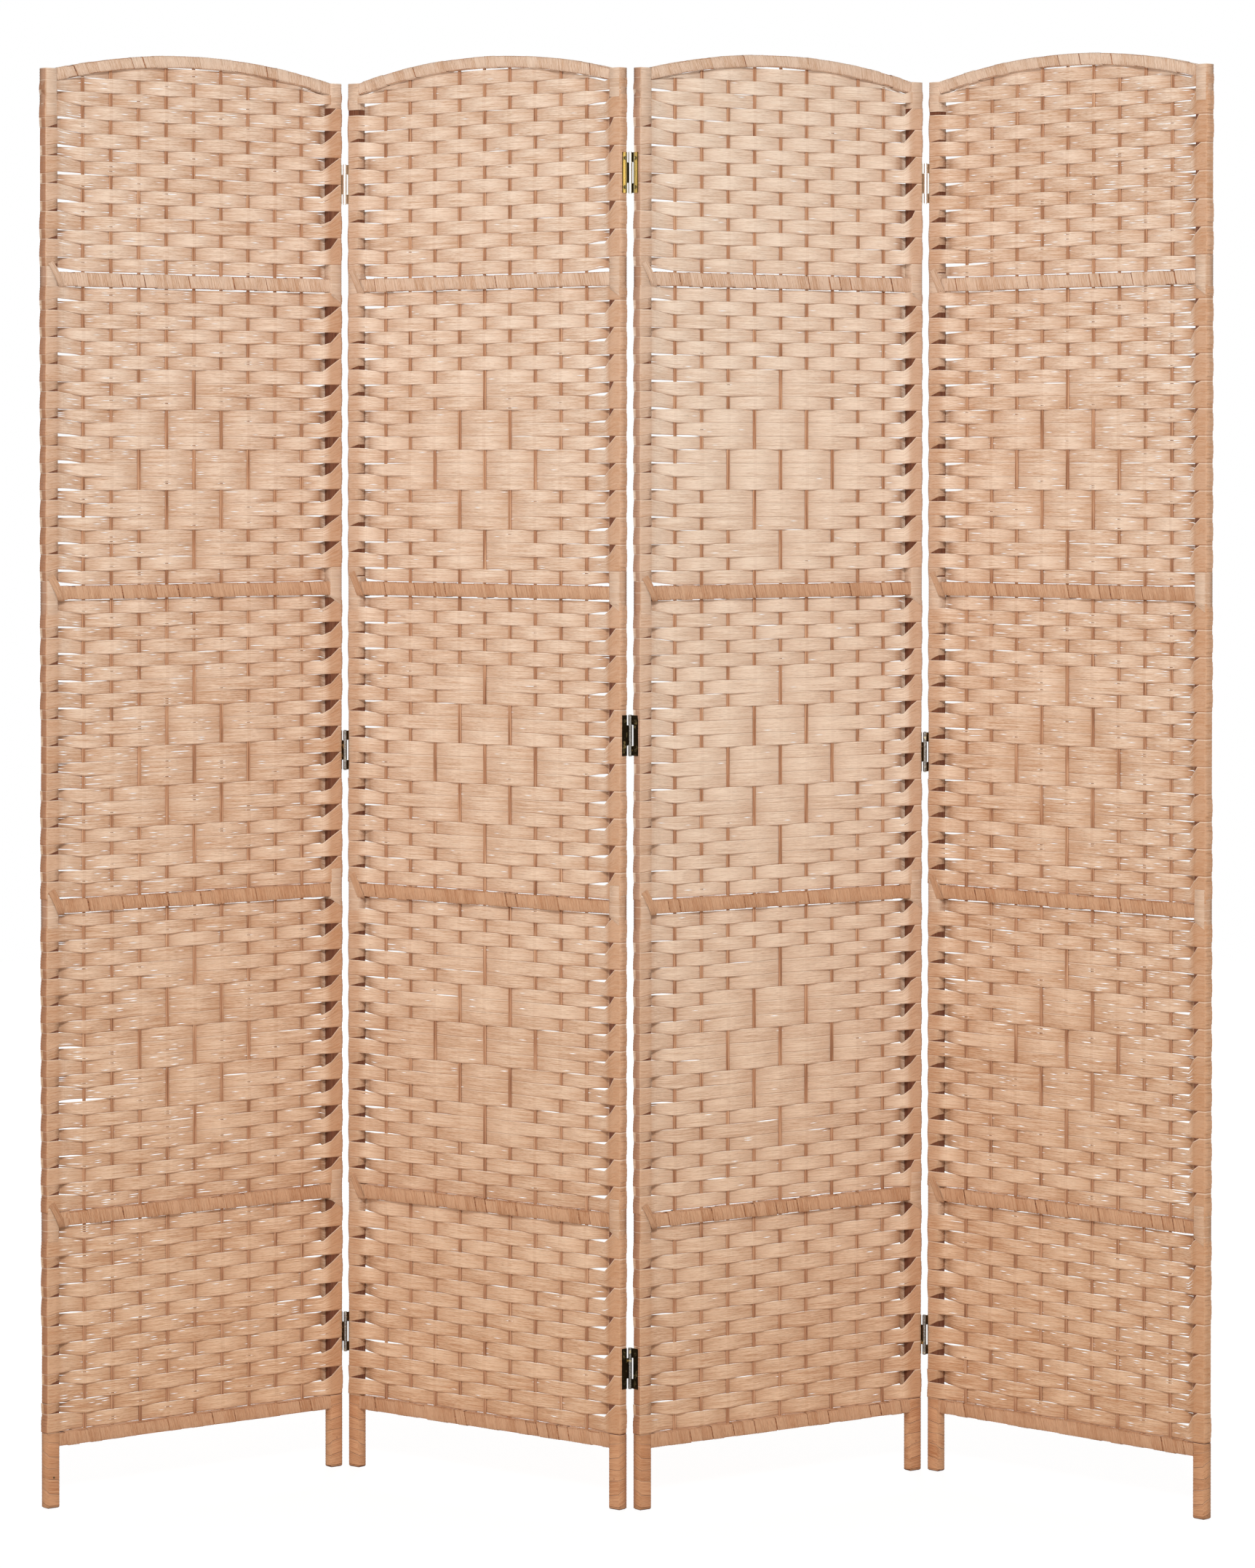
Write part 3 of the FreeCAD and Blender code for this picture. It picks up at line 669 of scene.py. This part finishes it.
def wind_extra_turn(bm, rng, panel, number, row, turns):
    """The band's second turn round the left post, slanting down from the inner edge"""
    _, section, count, _, _ = SECTIONS[number]
    rise, drop, lift = turns[:3]
    top = row_level(section, count, count - row, POST_INSIDE)
    low = row_level(section, count, count - row - 1, POST_INSIDE)
    pitch = top - low
    room = pitch if row < count - 1 else LAST_TURN_ROOM
    tone = EXTRA_TONES[0] + EXTRA_TONES[1] * rng.random()
    points, stations = [], []
    for index, (x, depth_share, inside) in enumerate(EXTRA_TURN):
        points.append((x, BAND_ON_POST * depth_share))
        high_edge = low + lift * inside
        low_edge = low - room * (drop * inside + (1 - rise) * (1 - inside))
        if index < EXTRA_TURN_FALLS:
            high_edge += (pitch * (1 + rise) - lift) * (1 - inside)
            low_edge = low - room * drop * inside
        bulge = BULGES[panel][0] if x < ON_SIDE else 0.0
        edges = post_edges(low_edge, high_edge, low - room, top + rise * pitch, bulge)
        shadow = SIDE_SHADOW if x < ON_SIDE else POST_SHADOW
        stations.append((edges, tone, shadow if depth_share <= 0 else -shadow))
    outwards = plan_stations(points, -1)
    lay_ribbon(bm, STRINGS, [(Vector((x, y, 0)), UP, outward, *station)
                             for (x, y), outward, station in zip(points, outwards, stations)])


# Left posts, panel by panel: rise of a front band's top edge and drop of its extra turn at the
# inner edge, in rows; how far the front band lifts and the back band sinks to leave a slot
LEFT_TURNS = ((0.29, 0.48, 0.0028, 0.0004), (0.17, 0.60, 0.0009, 0.0021),
              (0.30, 0.52, 0.0021, 0.0004), (0.10, 0.56, 0.0003, 0.0027))
# Right posts: rise of a front band's top edge at the inner edge, in rows; the share of the face
# over which it reaches the row above; and the slots above and below a back band
RIGHT_TURNS = ((0.35, 0.80, 0.0014, 0.0010), (0.38, 0.56, 0.0010, 0.0030),
               (0.60, 0.45, 0.0012, 0.0010), (0.65, 0.40, 0.0014, 0.0016))
# How the turns differ from row to row: shares of the wedges that are closed, of the slots that
# are shut above each rail and of the slots that are long, and the spreads of the sizes
CLOSED_WEDGES = (0.10, 0.30, 0.50, 0.30)
CLOSED_DROP = 0.9
SHUT_SLOTS = (0.66, 0.60, 0.50, 0.40, 0.34)
SHUT_SLOT = 0.15
LONG_SLOT_SHARE = 0.25
SHORT_SLOT, LONG_SLOT = 1.0, 2.0
DROP_SPREAD = 0.06
TURN_SPREAD = 0.15
LEFT_SLOT_SPREAD = (0.7, 1.3)
RIGHT_SLOT_SPREAD = (0.5, 1.4)
LEAST_RISE, MOST_RISE = 0.1, 0.9
WIDEST_TURN = 0.86
PANEL_SEEDS = 100


def weave_section(panel, number):
    """All the rows of one woven section of a panel"""
    name, section, count, first_behind, floats = SECTIONS[number]
    rng = random.Random(PANEL_SEEDS * panel + number)
    sides = [sides_of(row + 1, (row % 2 == 0) == first_behind, floats) for row in range(count)]
    seams = [seam(rng, SLOT_SHARES[panel]) for _ in range(count + 1)]
    bm = bmesh.new()
    for row in range(count):
        rise, drop, *left_slots = LEFT_TURNS[panel]
        if rng.random() < CLOSED_WEDGES[panel]:
            drop = CLOSED_DROP * (1 - rise)
        right_rise, right_full, slot_above, slot_below = RIGHT_TURNS[panel]
        lift, sink = (size * (SHUT_SLOT if rng.random() < SHUT_SLOTS[section]
                              else rng.uniform(*LEFT_SLOT_SPREAD)) for size in left_slots)
        drop += rng.uniform(-DROP_SPREAD, DROP_SPREAD)
        right_rise += rng.uniform(-TURN_SPREAD, TURN_SPREAD)
        right_full += rng.uniform(-TURN_SPREAD, TURN_SPREAD)
        turns = (rise, drop, lift, sink,
                 min(MOST_RISE, max(LEAST_RISE, right_rise)), min(WIDEST_TURN, right_full),
                 slot_above * rng.uniform(*RIGHT_SLOT_SPREAD),
                 slot_below * rng.uniform(*RIGHT_SLOT_SPREAD),
                 LONG_SLOT if rng.random() < LONG_SLOT_SHARE else SHORT_SLOT)
        above = sides[row - 1] if row > 0 else sides[row]
        below = sides[row + 1] if row < count - 1 else sides[row]
        weave_row(bm, rng, panel, number, row, above, sides[row], below, seams, turns)
        if sides[row][0] < 0:
            wind_extra_turn(bm, rng, panel, number, row, turns)
    return name, bm


PALENESS = (0.02, 0.09, 0.26, 0.0)
for panel, body in enumerate(PANELS):
    band_paper = paper(f"{body}_band_paper", STRINGS, paleness=PALENESS[panel])
    for number in range(len(SECTIONS)):
        section_name, bands = weave_section(panel, number)
        new_piece(f"{body}_bands_{section_name}", bands, panel_places[panel], band_paper, body,
                  "woven_bands", f"{body}_weave")


# Rail wrappings: the same paper wound edge to edge round each rail as a slanting strip, so its
# strings run almost upright, with the dark wood showing where two turns part. A narrow slanting
# strip ties each cross rail's left end to its post.

TURN_PITCH = 0.0172
WRAP_STRINGS = 4
WRAP_OFFSET = 0.0004
HALF_RAIL_DEPTH = 0.0063
HALF_ARCH_RAIL = 0.0075
ARCH_RAIL_MIDDLE = 0.0067
RAIL_ROUNDING = 0.0012
RAIL_WRAP_START = 0.0166
INTO_POST = 0.0060
# Sizes of the partings between turns, and the shares of the turns that part
RAIL_PARTING = (0.0007, 0.0018)
RAIL_LAP = 0.0004
RAIL_SWELL = (-0.05, 0.08)
STRAIGHT_PARTED = 0.25
ARCH_PARTED = 0.16
RAIL_SEED = 500
TIE_SEED = 600
TURN_EDGE = (0.16, 0.06, 0.022, 1)
RAIL_TINT = (0.74, 0.53, 0.38, 1)
wrap_paper = paper("wrap_paper", WRAP_STRINGS, warmth=(0.25, 1.6, 0.86, RAIL_TINT), fineness=1.6,
                   low_edge=(TURN_EDGE, 0.10, 0.60), high_edge=(TURN_EDGE, 0.0, 0.0))


def rail_ring(half_height, half_depth):
    """Points of a rail's section, down its front and up its back"""
    depth, height = half_depth - RAIL_ROUNDING, half_height - RAIL_ROUNDING
    return ((-depth, half_height), (-half_depth, height), (-half_depth, 0.0),
            (-half_depth, -height), (-depth, -half_height), (depth, -half_height),
            (half_depth, -height), (half_depth, 0.0), (half_depth, height), (depth, half_height))


def wind_rail(bm, rng, length, half_height, place_at, part_share):
    """A strip wound round a rail: place_at gives the middle, the way along and the way up"""
    turns = round(length / TURN_PITCH)
    pitch = length / turns
    half_depth = HALF_RAIL_DEPTH - WRAP_OFFSET
    ring = rail_ring(half_height - WRAP_OFFSET, half_depth)
    partings = [rng.uniform(*RAIL_PARTING) if rng.random() < part_share else -RAIL_LAP
                for _ in range(turns + 2)]
    turn_tones = [rng.random() for _ in range(turns + 1)]
    swells = [1 + rng.uniform(*RAIL_SWELL) for _ in range(turns + 1)]
    stations = []
    for step in range(turns * len(ring) + 1):
        turn, corner = divmod(step, len(ring))
        y, z = ring[corner]
        low, high = -pitch / 2 + partings[turn] / 2, pitch / 2 - partings[turn + 1] / 2
        place = min(max(pitch * step / len(ring), pitch / 2), length - pitch / 2)
        middle, way_along, way_up = place_at(place)
        outward = Vector((0, y / half_depth ** 2, 0)) + way_up * (z / half_height ** 2)
        position = middle + Vector((0, y, 0)) + way_up * (z * swells[turn])
        edges = even_edges(WRAP_STRINGS, low, high)
        stations.append((position, way_along, outward.normalized(), edges, turn_tones[turn], 0.0))
    lay_ribbon(bm, WRAP_STRINGS, stations)


def wrap_rails(panel):
    """The strips on the five straight rails and the arched one"""
    bm = bmesh.new()
    rng = random.Random(RAIL_SEED + panel)
    straight_length = PANEL_WIDTH - 2 * RAIL_WRAP_START + INTO_POST
    for level in STRAIGHT_RAILS:
        def straight(place):
            return Vector((RAIL_WRAP_START + place, 0, level)), Vector((1, 0, 0)), UP
        wind_rail(bm, rng, straight_length, HALF_RAIL, straight, STRAIGHT_PARTED)
    middle_radius = arch_radius - ARCH_RAIL_MIDDLE
    half_angle = math.asin((PANEL_WIDTH / 2 - RAIL_WRAP_START) / middle_radius)
    arch_length = 2 * half_angle * middle_radius + INTO_POST

    def arched(place):
        angle = place / middle_radius - half_angle
        way_up = Vector((math.sin(angle), 0, math.cos(angle)))
        way_along = Vector((math.cos(angle), 0, -math.sin(angle)))
        centre = Vector((PANEL_WIDTH / 2, 0, arch_centre))
        return centre + way_up * middle_radius, way_along, way_up
    wind_rail(bm, rng, arch_length, HALF_ARCH_RAIL, arched, ARCH_PARTED)
    return bm


# The tie at a rail's left end, from the post's front down over the rail, under it and up the back:
# distance from the panel's edge, depth and height over the rail's middle
TIE_PATH = ((0.0065, -0.0072, 0.0200), (0.0115, -0.0078, 0.0120), (0.0175, -0.0080, 0.0010),
            (0.0212, -0.0074, -0.0075), (0.0222, -0.0050, -0.0098), (0.0222, 0.0, -0.0102),
            (0.0222, 0.0050, -0.0098), (0.0212, 0.0074, -0.0075), (0.0175, 0.0080, 0.0010),
            (0.0115, 0.0078, 0.0120), (0.0065, 0.0072, 0.0200))
TIE_STRINGS = 4
TIE_WIDTH = 0.0095
TIE_WIDTH_SPREAD = (0.9, 1.15)
TIE_LEAN = (0.92, 1.08)
TIE_SLANT = Vector((0.894, 0, 0.447))
TIE_FACE = 0.006


def tie_rail(bm, rng, level):
    """The slanting strip at a rail's left end"""
    tone = rng.random()
    width = TIE_WIDTH * rng.uniform(*TIE_WIDTH_SPREAD)
    lean = rng.uniform(*TIE_LEAN)
    edges = even_edges(TIE_STRINGS, -width / 2, width / 2)
    stations = []
    for x, y, z in TIE_PATH:
        on_face = abs(y) > TIE_FACE
        slant = TIE_SLANT if on_face else Vector((1, 0, 0))
        outward = Vector((0, y, 0)) if on_face else Vector((0, y / TIE_FACE, -1))
        position = Vector((x * lean, y, level + z))
        stations.append((position, slant, outward.normalized(), edges, tone, 0.0))
    lay_ribbon(bm, TIE_STRINGS, stations)


for panel, body in enumerate(PANELS):
    wound = wrap_rails(panel)
    rng = random.Random(TIE_SEED + panel)
    for level in STRAIGHT_RAILS[1:]:
        tie_rail(wound, rng, level)
    new_piece(f"{body}_rail_wrappings", wound, panel_places[panel], wrap_paper, body,
              "wrapping", f"{body}_wraps")


# Foot wrappings: paper wound round each foot up to the bottom rail, in turns that sway a little
# and show dark lines where they meet, with a painted highlight along each turn's top edge and
# painted shade on the posts' outer sides.

FOOT_GAP = 0.0012
FOOT_PITCH = 0.0165
FOOT_LAP = 0.0004
# How far the edges sway, and how fast from turn to turn and from corner to corner
FOOT_SWAY, SWAY_BY_TURN, SWAY_BY_CORNER = 0.0016, 2.1, 0.8
FOOT_SIDE_SHADOW, FOOT_FACE_SHADOW = 0.8, -0.3
FOOT_SEED = 700
FOOT_TINT = (0.73, 0.48, 0.315, 1)
foot_paper = paper("foot_paper", WRAP_STRINGS, warmth=(0.96, 0.0, 1.0, FOOT_TINT), fineness=1.4,
                   low_edge=(TURN_EDGE, 0.20, 0.85), high_edge=(PALE_AND_HIGHLIGHT_PAPER, 0.12, 0.30))
# Points round a post: distance from the panel's edge and share of the depth
POST_RING = ((0.0176, -0.9), (0.0160, -1.06), (0.0020, -1.06), (0.0000, -0.9), (-0.0009, 0.0),
             (0.0000, 0.9), (0.0020, 1.06), (0.0160, 1.06), (0.0176, 0.9), (0.0178, 0.0))
ON_OUTSIDE = 0.0006


def ring_place(on_right, x, depth_share):
    """A point on a post's ring, with its outward side"""
    middle = Vector((PANEL_WIDTH - SLEEVE_WIDTH / 2 if on_right else SLEEVE_WIDTH / 2, 0, 0))
    position = Vector((PANEL_WIDTH - x if on_right else x, depth_share * BAND_ON_POST, 0))
    return position, (position - middle).normalized()


def wind_post(bm, rng, on_right, z_low, z_high):
    """A strip wound round a post between two levels"""
    turns = max(1, round((z_high - z_low) / FOOT_PITCH))
    pitch = (z_high - z_low) / turns
    steps = (turns + 1) * len(POST_RING)
    turn_tones = [rng.random() for _ in range(turns + 2)]
    stations = []
    for step in range(steps + 1):
        turn, corner = divmod(step, len(POST_RING))
        x, depth_share = POST_RING[corner]
        position, outward = ring_place(on_right, x, depth_share)
        centre = z_low - pitch / 2 + pitch * step / len(POST_RING)
        sways = [FOOT_SWAY * math.sin(SWAY_BY_TURN * (turn + edge) + SWAY_BY_CORNER * corner)
                 for edge in (0, 1)]
        low = min(max(centre - pitch / 2 - FOOT_LAP + sways[0], z_low), z_high - FOOT_LAP)
        high = max(min(centre + pitch / 2 + sways[1], z_high), z_low + FOOT_LAP)
        # Painted shade: the outer side gets more depth than the faces
        depth = FOOT_SIDE_SHADOW if x < ON_OUTSIDE else FOOT_FACE_SHADOW
        edges = even_edges(WRAP_STRINGS, low, high)
        stations.append((position, UP, outward, edges, turn_tones[turn], depth))
    lay_ribbon(bm, WRAP_STRINGS, stations)


for panel, body in enumerate(PANELS):
    wound = bmesh.new()
    rng = random.Random(FOOT_SEED + panel)
    for on_right in (False, True):
        wind_post(wound, rng, on_right, FOOT_GAP, STRAIGHT_RAILS[0] + HALF_RAIL)
    new_piece(f"{body}_foot_wrappings", wound, panel_places[panel], foot_paper, body,
              "wrapping", f"{body}_wraps")


# Post covers: a few turns of the woven paper itself round the top of each post and round it beside
# every rail, where the weaving starts and ends.

COVER_PITCH = 0.0130
COVER_LAP = 0.0002
THINNEST_TURN = 0.0008
COVER_SHADOW = 1.1
# Lengths of the covers at the tops of the left and right posts, panel by panel
TOP_COVERS = ((0.058, 0.032), (0.034, 0.036), (0.060, 0.034), (0.038, 0.044))
TOP_GAP = 0.0002
# How far a cover reaches below and above a rail's middle, and the slant of its lowest edge
LEFT_COVER = (0.0265, 0.0150, 0.0)
LEFT_COVER_BELOW_TOP_RAIL = 0.0095
RIGHT_COVER = (0.0225, 0.0268, 0.0110)
COVER_SEED = 800
# The covers' turns carry a painted shadow along their low edges
cover_paper = paper("cover_paper", WRAP_STRINGS, fineness=1.5, low_edge=(SEAM_SHADOW_BROWN, 0.08, 0.30),
                    paleness=0.17)


def ring_post(bm, rng, on_right, z_low, z_high, slant=0.0):
    """Level turns side by side round a post, the lowest edge higher at the inner side"""
    turns = max(1, round((z_high - z_low) / COVER_PITCH))
    pitch = (z_high - z_low) / turns
    ring = POST_RING[7:] + POST_RING[:8]
    side_shadow = RIGHT_SHADOW if on_right else SIDE_SHADOW
    for turn in range(turns):
        tone = rng.random()
        stations = []
        for x, depth_share in ring:
            position, outward = ring_place(on_right, x, depth_share)
            low = max(z_low + turn * pitch - COVER_LAP, z_low + slant * x / SLEEVE_WIDTH)
            high = max(z_low + (turn + 1) * pitch, low + THINNEST_TURN)
            face_shadow = -COVER_SHADOW if depth_share > 0 else COVER_SHADOW
            depth = side_shadow if x < ON_OUTSIDE else face_shadow
            edges = even_edges(WRAP_STRINGS, low, high)
            stations.append((position, UP, outward, edges, tone, depth))
        lay_ribbon(bm, WRAP_STRINGS, stations)


for panel, body in enumerate(PANELS):
    wound = bmesh.new()
    rng = random.Random(COVER_SEED + panel)
    for on_right in (False, True):
        ring_post(wound, rng, on_right, POST_TOP - TOP_COVERS[panel][on_right], POST_TOP - TOP_GAP)
        below, above, slant = RIGHT_COVER if on_right else LEFT_COVER
        for level in STRAIGHT_RAILS[1:]:
            if level == STRAIGHT_RAILS[-1] and not on_right:
                below = LEFT_COVER_BELOW_TOP_RAIL
            ring_post(wound, rng, on_right, level - below, level + above, slant)
    new_piece(f"{body}_post_covers", wound, panel_places[panel], cover_paper, body,
              "wrapping", f"{body}_wraps")


# Hinges: small stamped butt hinges screwed to the posts' outer sides. The top ones are bright
# brass with paler knuckles, and the middle and lower ones have darkened to antique brass, with
# bright spots that are partly wear and partly painted glints. Every knuckle has a painted highlight
# down its middle and every leaf a painted shadow round its edge.

BRIGHT_BRASS = (0.92, 0.74, 0.34, 1)
PALE_METAL = (0.55, 0.50, 0.42, 1)
DARK_BRASS = (0.050, 0.034, 0.016, 1)
BLACK_METAL_AND_SHADOW = (0.025, 0.018, 0.010, 1)
KNUCKLE_HIGHLIGHT = (0.80, 0.78, 0.74, 1)
# Distances from the pin: the knuckle's edge, half the width of the painted highlight down it, the leaf's root and
# where the painted shadow at the leaf's edge starts
KNUCKLE_REACH = 0.0027
HIGHLIGHT_HALF_WIDTH = 0.0019
LEAF_ROOT, ROOT_FADE = 0.0044, 260
LEAF_RIM = 0.0118
TOP_RIM_SHADOW, OLD_RIM_SHADOW = 0.85, 0.8
TOP_HIGHLIGHT = 0.92
PATINA_GLINT_FROM, PATINA_GLINT_RATE = 0.60, 5.0
OLD_HIGHLIGHT_FROM = 0.25
TOP_HINGE_LEVEL = 1.5
POLISH, WEAR_DULLS, AGE_DULLS = 0.20, 0.20, 0.12
BRASS_RELIEF = 0.00008


def hinge_metal(name, pin, root):
    """Brass that is bright on the top hinge and dark below, with paler knuckles round its pin
    and the root's colour beside them, a painted highlight down every knuckle and a painted
    shadow round the leaves' edges"""
    finish = Finish(name, Metallic=1.0)
    place = finish.coords("Object")
    flatten = {0: place, 1: (1, 1, 0)}
    plan = finish.node("ShaderNodeVectorMath", {"operation": "MULTIPLY"}, flatten)
    reach = finish.node("ShaderNodeVectorMath", {"operation": "DISTANCE"},
                        {0: plan, 1: (pin[0], pin[1], 0)}, output="Value")
    off_pin = finish.node("ShaderNodeMath", {"operation": "ABSOLUTE"},
                          {0: finish.part(place, 0) - pin[0]})
    knuckle = reach < KNUCKLE_REACH
    # Painted highlight: a pale stripe down the middle of each knuckle
    knuckle_highlight = knuckle * (off_pin < HIGHLIGHT_HALF_WIDTH)
    # Painted shadow: a dark line round the edge of each leaf
    rim = reach > LEAF_RIM
    bright = finish.part(place, 2) > TOP_HINGE_LEVEL
    wear = finish.noise(place, scale=900.0, detail=3.0)
    patina_and_glints = finish.noise(place, scale=160.0, detail=2.0)
    gold = finish.blend((reach - LEAF_ROOT) * ROOT_FADE, root, BRIGHT_BRASS)
    gold = finish.blend(rim * TOP_RIM_SHADOW, gold, BLACK_METAL_AND_SHADOW)
    top_colour = finish.blend(knuckle, gold, root)
    top_colour = finish.blend(knuckle_highlight * TOP_HIGHLIGHT, top_colour, KNUCKLE_HIGHLIGHT)
    # Dark patina on the old hinges with bright brass spots, partly wear and partly painted glints
    old_colour = finish.blend((patina_and_glints - PATINA_GLINT_FROM) * PATINA_GLINT_RATE, DARK_BRASS, BRIGHT_BRASS)
    old_colour = finish.blend(rim * OLD_RIM_SHADOW, old_colour, BLACK_METAL_AND_SHADOW)
    old_colour = finish.blend(knuckle_highlight * (wear - OLD_HIGHLIGHT_FROM), old_colour, KNUCKLE_HIGHLIGHT)
    finish.shine("Base Color", finish.blend(bright, old_colour, top_colour))
    finish.shine("Roughness", POLISH + wear * WEAR_DULLS + (1 - bright) * AGE_DULLS)
    finish.relief(wear, BRASS_RELIEF)
    return finish.material


for joint, (left, right) in zip(frame["joints"], ((1, 2), (2, 3), (3, 4))):
    root_colour = BLACK_METAL_AND_SHADOW if left == 2 else PALE_METAL
    metal = hinge_metal(f"hinge_brass_{left}_{right}", joint["pos_m"], root_colour)
    parts = ("left_leaves", "right_leaves", "pins")
    dress([f"hinges_{left}_{right}_{part}" for part in parts], metal)


# Nails, tacks and screws: steel nail and tack heads, and slotted screws whose heads lie flush in
# the leaves. They stay as the solids made them; the tacks are coloured like the paper, all but
# the bare one in the first foot.

DARK_STEEL = (0.06, 0.045, 0.030, 1)
BRASSY_STEEL = (0.42, 0.34, 0.19, 1)
TACK_PAINT = (0.44, 0.21, 0.105, 1)
TACK_LEVEL = 0.06
BARE_TACK = -0.65
BRASSY_FROM, BRASSY_RATE = 0.35, 2.0
STEEL_POLISH, STEEL_WEAR, PAINT_DULLS = 0.25, 0.25, 0.4


def fixing_metal():
    """Steel darkened by handling, brassy in places, and painted on the tacks"""
    finish = Finish("fixing_metal")
    place = finish.coords("Object")
    wear = finish.noise(place, scale=700.0, detail=3.0)
    painted = (finish.part(place, 2) < TACK_LEVEL) * (finish.part(place, 0) > BARE_TACK)
    metal = finish.blend((wear - BRASSY_FROM) * BRASSY_RATE, DARK_STEEL, BRASSY_STEEL)
    finish.shine("Base Color", finish.blend(painted, metal, TACK_PAINT))
    finish.shine("Metallic", 1 - painted)
    finish.shine("Roughness", STEEL_POLISH + wear * STEEL_WEAR + painted * PAINT_DULLS)
    return finish.material


dress([f"{panel}_nails_and_screws" for panel in PANELS], fixing_metal())


# Studio: a plain pale floor in a white surround, a large soft lamp high in front, a weaker one on
# the left and one behind for the back, and the camera at the photograph's angle.

FLOOR_SIZE = 14.0
FLOOR_COLOUR = (0.90, 0.90, 0.90, 1)
FLOOR_GLOW, GLOW_SHARE = 1.10, 0.80
SURROUND_LIGHT = 0.38
# Name, place, side and power of each lamp
LAMPS = (("key_lamp", (0.0, -7.2, 4.4), 1.4, 385), ("fill_lamp", (-3.0, -4.4, 1.6), 2.4, 34),
         ("back_lamp", (0.0, 6.4, 4.0), 2.0, 230))
LAMP_AIM = (0, 0, 0.9)
CAMERA_PLACE = (-0.0826, -6.578, 1.2902)
CAMERA_DIP = 0.934
CAMERA_LENS = 120.74
CAMERA_SENSOR = 36
CAMERA_SHIFT = (0.0456, -0.15)

bm = bmesh.new()
bmesh.ops.create_grid(bm, x_segments=1, y_segments=1, size=FLOOR_SIZE / 2)
floor_mesh = bpy.data.meshes.new("floor")
bm.to_mesh(floor_mesh)
bm.free()
floor = bpy.data.objects.new("floor", floor_mesh)
bpy.context.scene.collection.objects.link(floor)

floor_finish = Finish("floor_white", Roughness=0.9, Specular_IOR_Level=0.0)
floor_finish.shine("Base Color", FLOOR_COLOUR)
glow_inputs = {"Color": (1, 1, 1, 1), "Strength": FLOOR_GLOW}
glow = floor_finish.node("ShaderNodeEmission", inputs=glow_inputs)
seen = floor_finish.node("ShaderNodeLightPath", output="Is Camera Ray")
lit = Signal(floor_finish, floor_finish.shader.outputs[0])
mixed = floor_finish.node("ShaderNodeMixShader", inputs={0: seen * GLOW_SHARE, 1: lit, 2: glow})
floor_finish.feed(floor_finish.tree.nodes["Material Output"].inputs["Surface"], mixed)
floor_mesh.materials.append(floor_finish.material)

world = bpy.data.worlds.new("surround")
bpy.context.scene.world = world
world.use_nodes = True
sky = world.node_tree
light_path = sky.nodes.new("ShaderNodeLightPath")
either = sky.nodes.new("ShaderNodeMath")
either.operation = "MAXIMUM"
sky.links.new(light_path.outputs["Is Camera Ray"], either.inputs[0])
sky.links.new(light_path.outputs["Is Glossy Ray"], either.inputs[1])
strength = sky.nodes.new("ShaderNodeMapRange")
strength.inputs["To Min"].default_value = SURROUND_LIGHT
strength.inputs["To Max"].default_value = 1.0
sky.links.new(either.outputs[0], strength.inputs["Value"])
background = sky.nodes["Background"]
background.inputs["Color"].default_value = (1, 1, 1, 1)
sky.links.new(strength.outputs["Result"], background.inputs["Strength"])

for name, place, side, power in LAMPS:
    light = bpy.data.lights.new(name, "AREA")
    light.size = side
    light.energy = power
    lamp = bpy.data.objects.new(name, light)
    lamp.location = place
    lamp.rotation_euler = (Vector(LAMP_AIM) - Vector(place)).to_track_quat("-Z", "Y").to_euler()
    bpy.context.scene.collection.objects.link(lamp)

camera_data = bpy.data.cameras.new("camera")
camera_data.lens = CAMERA_LENS
camera_data.sensor_width = CAMERA_SENSOR
camera_data.shift_x, camera_data.shift_y = CAMERA_SHIFT
camera = bpy.data.objects.new("camera", camera_data)
camera.location = CAMERA_PLACE
camera.rotation_euler = (math.radians(90 - CAMERA_DIP), 0, 0)
bpy.context.scene.collection.objects.link(camera)
bpy.context.scene.camera = camera
bpy.context.scene.view_settings.view_transform = "Standard"
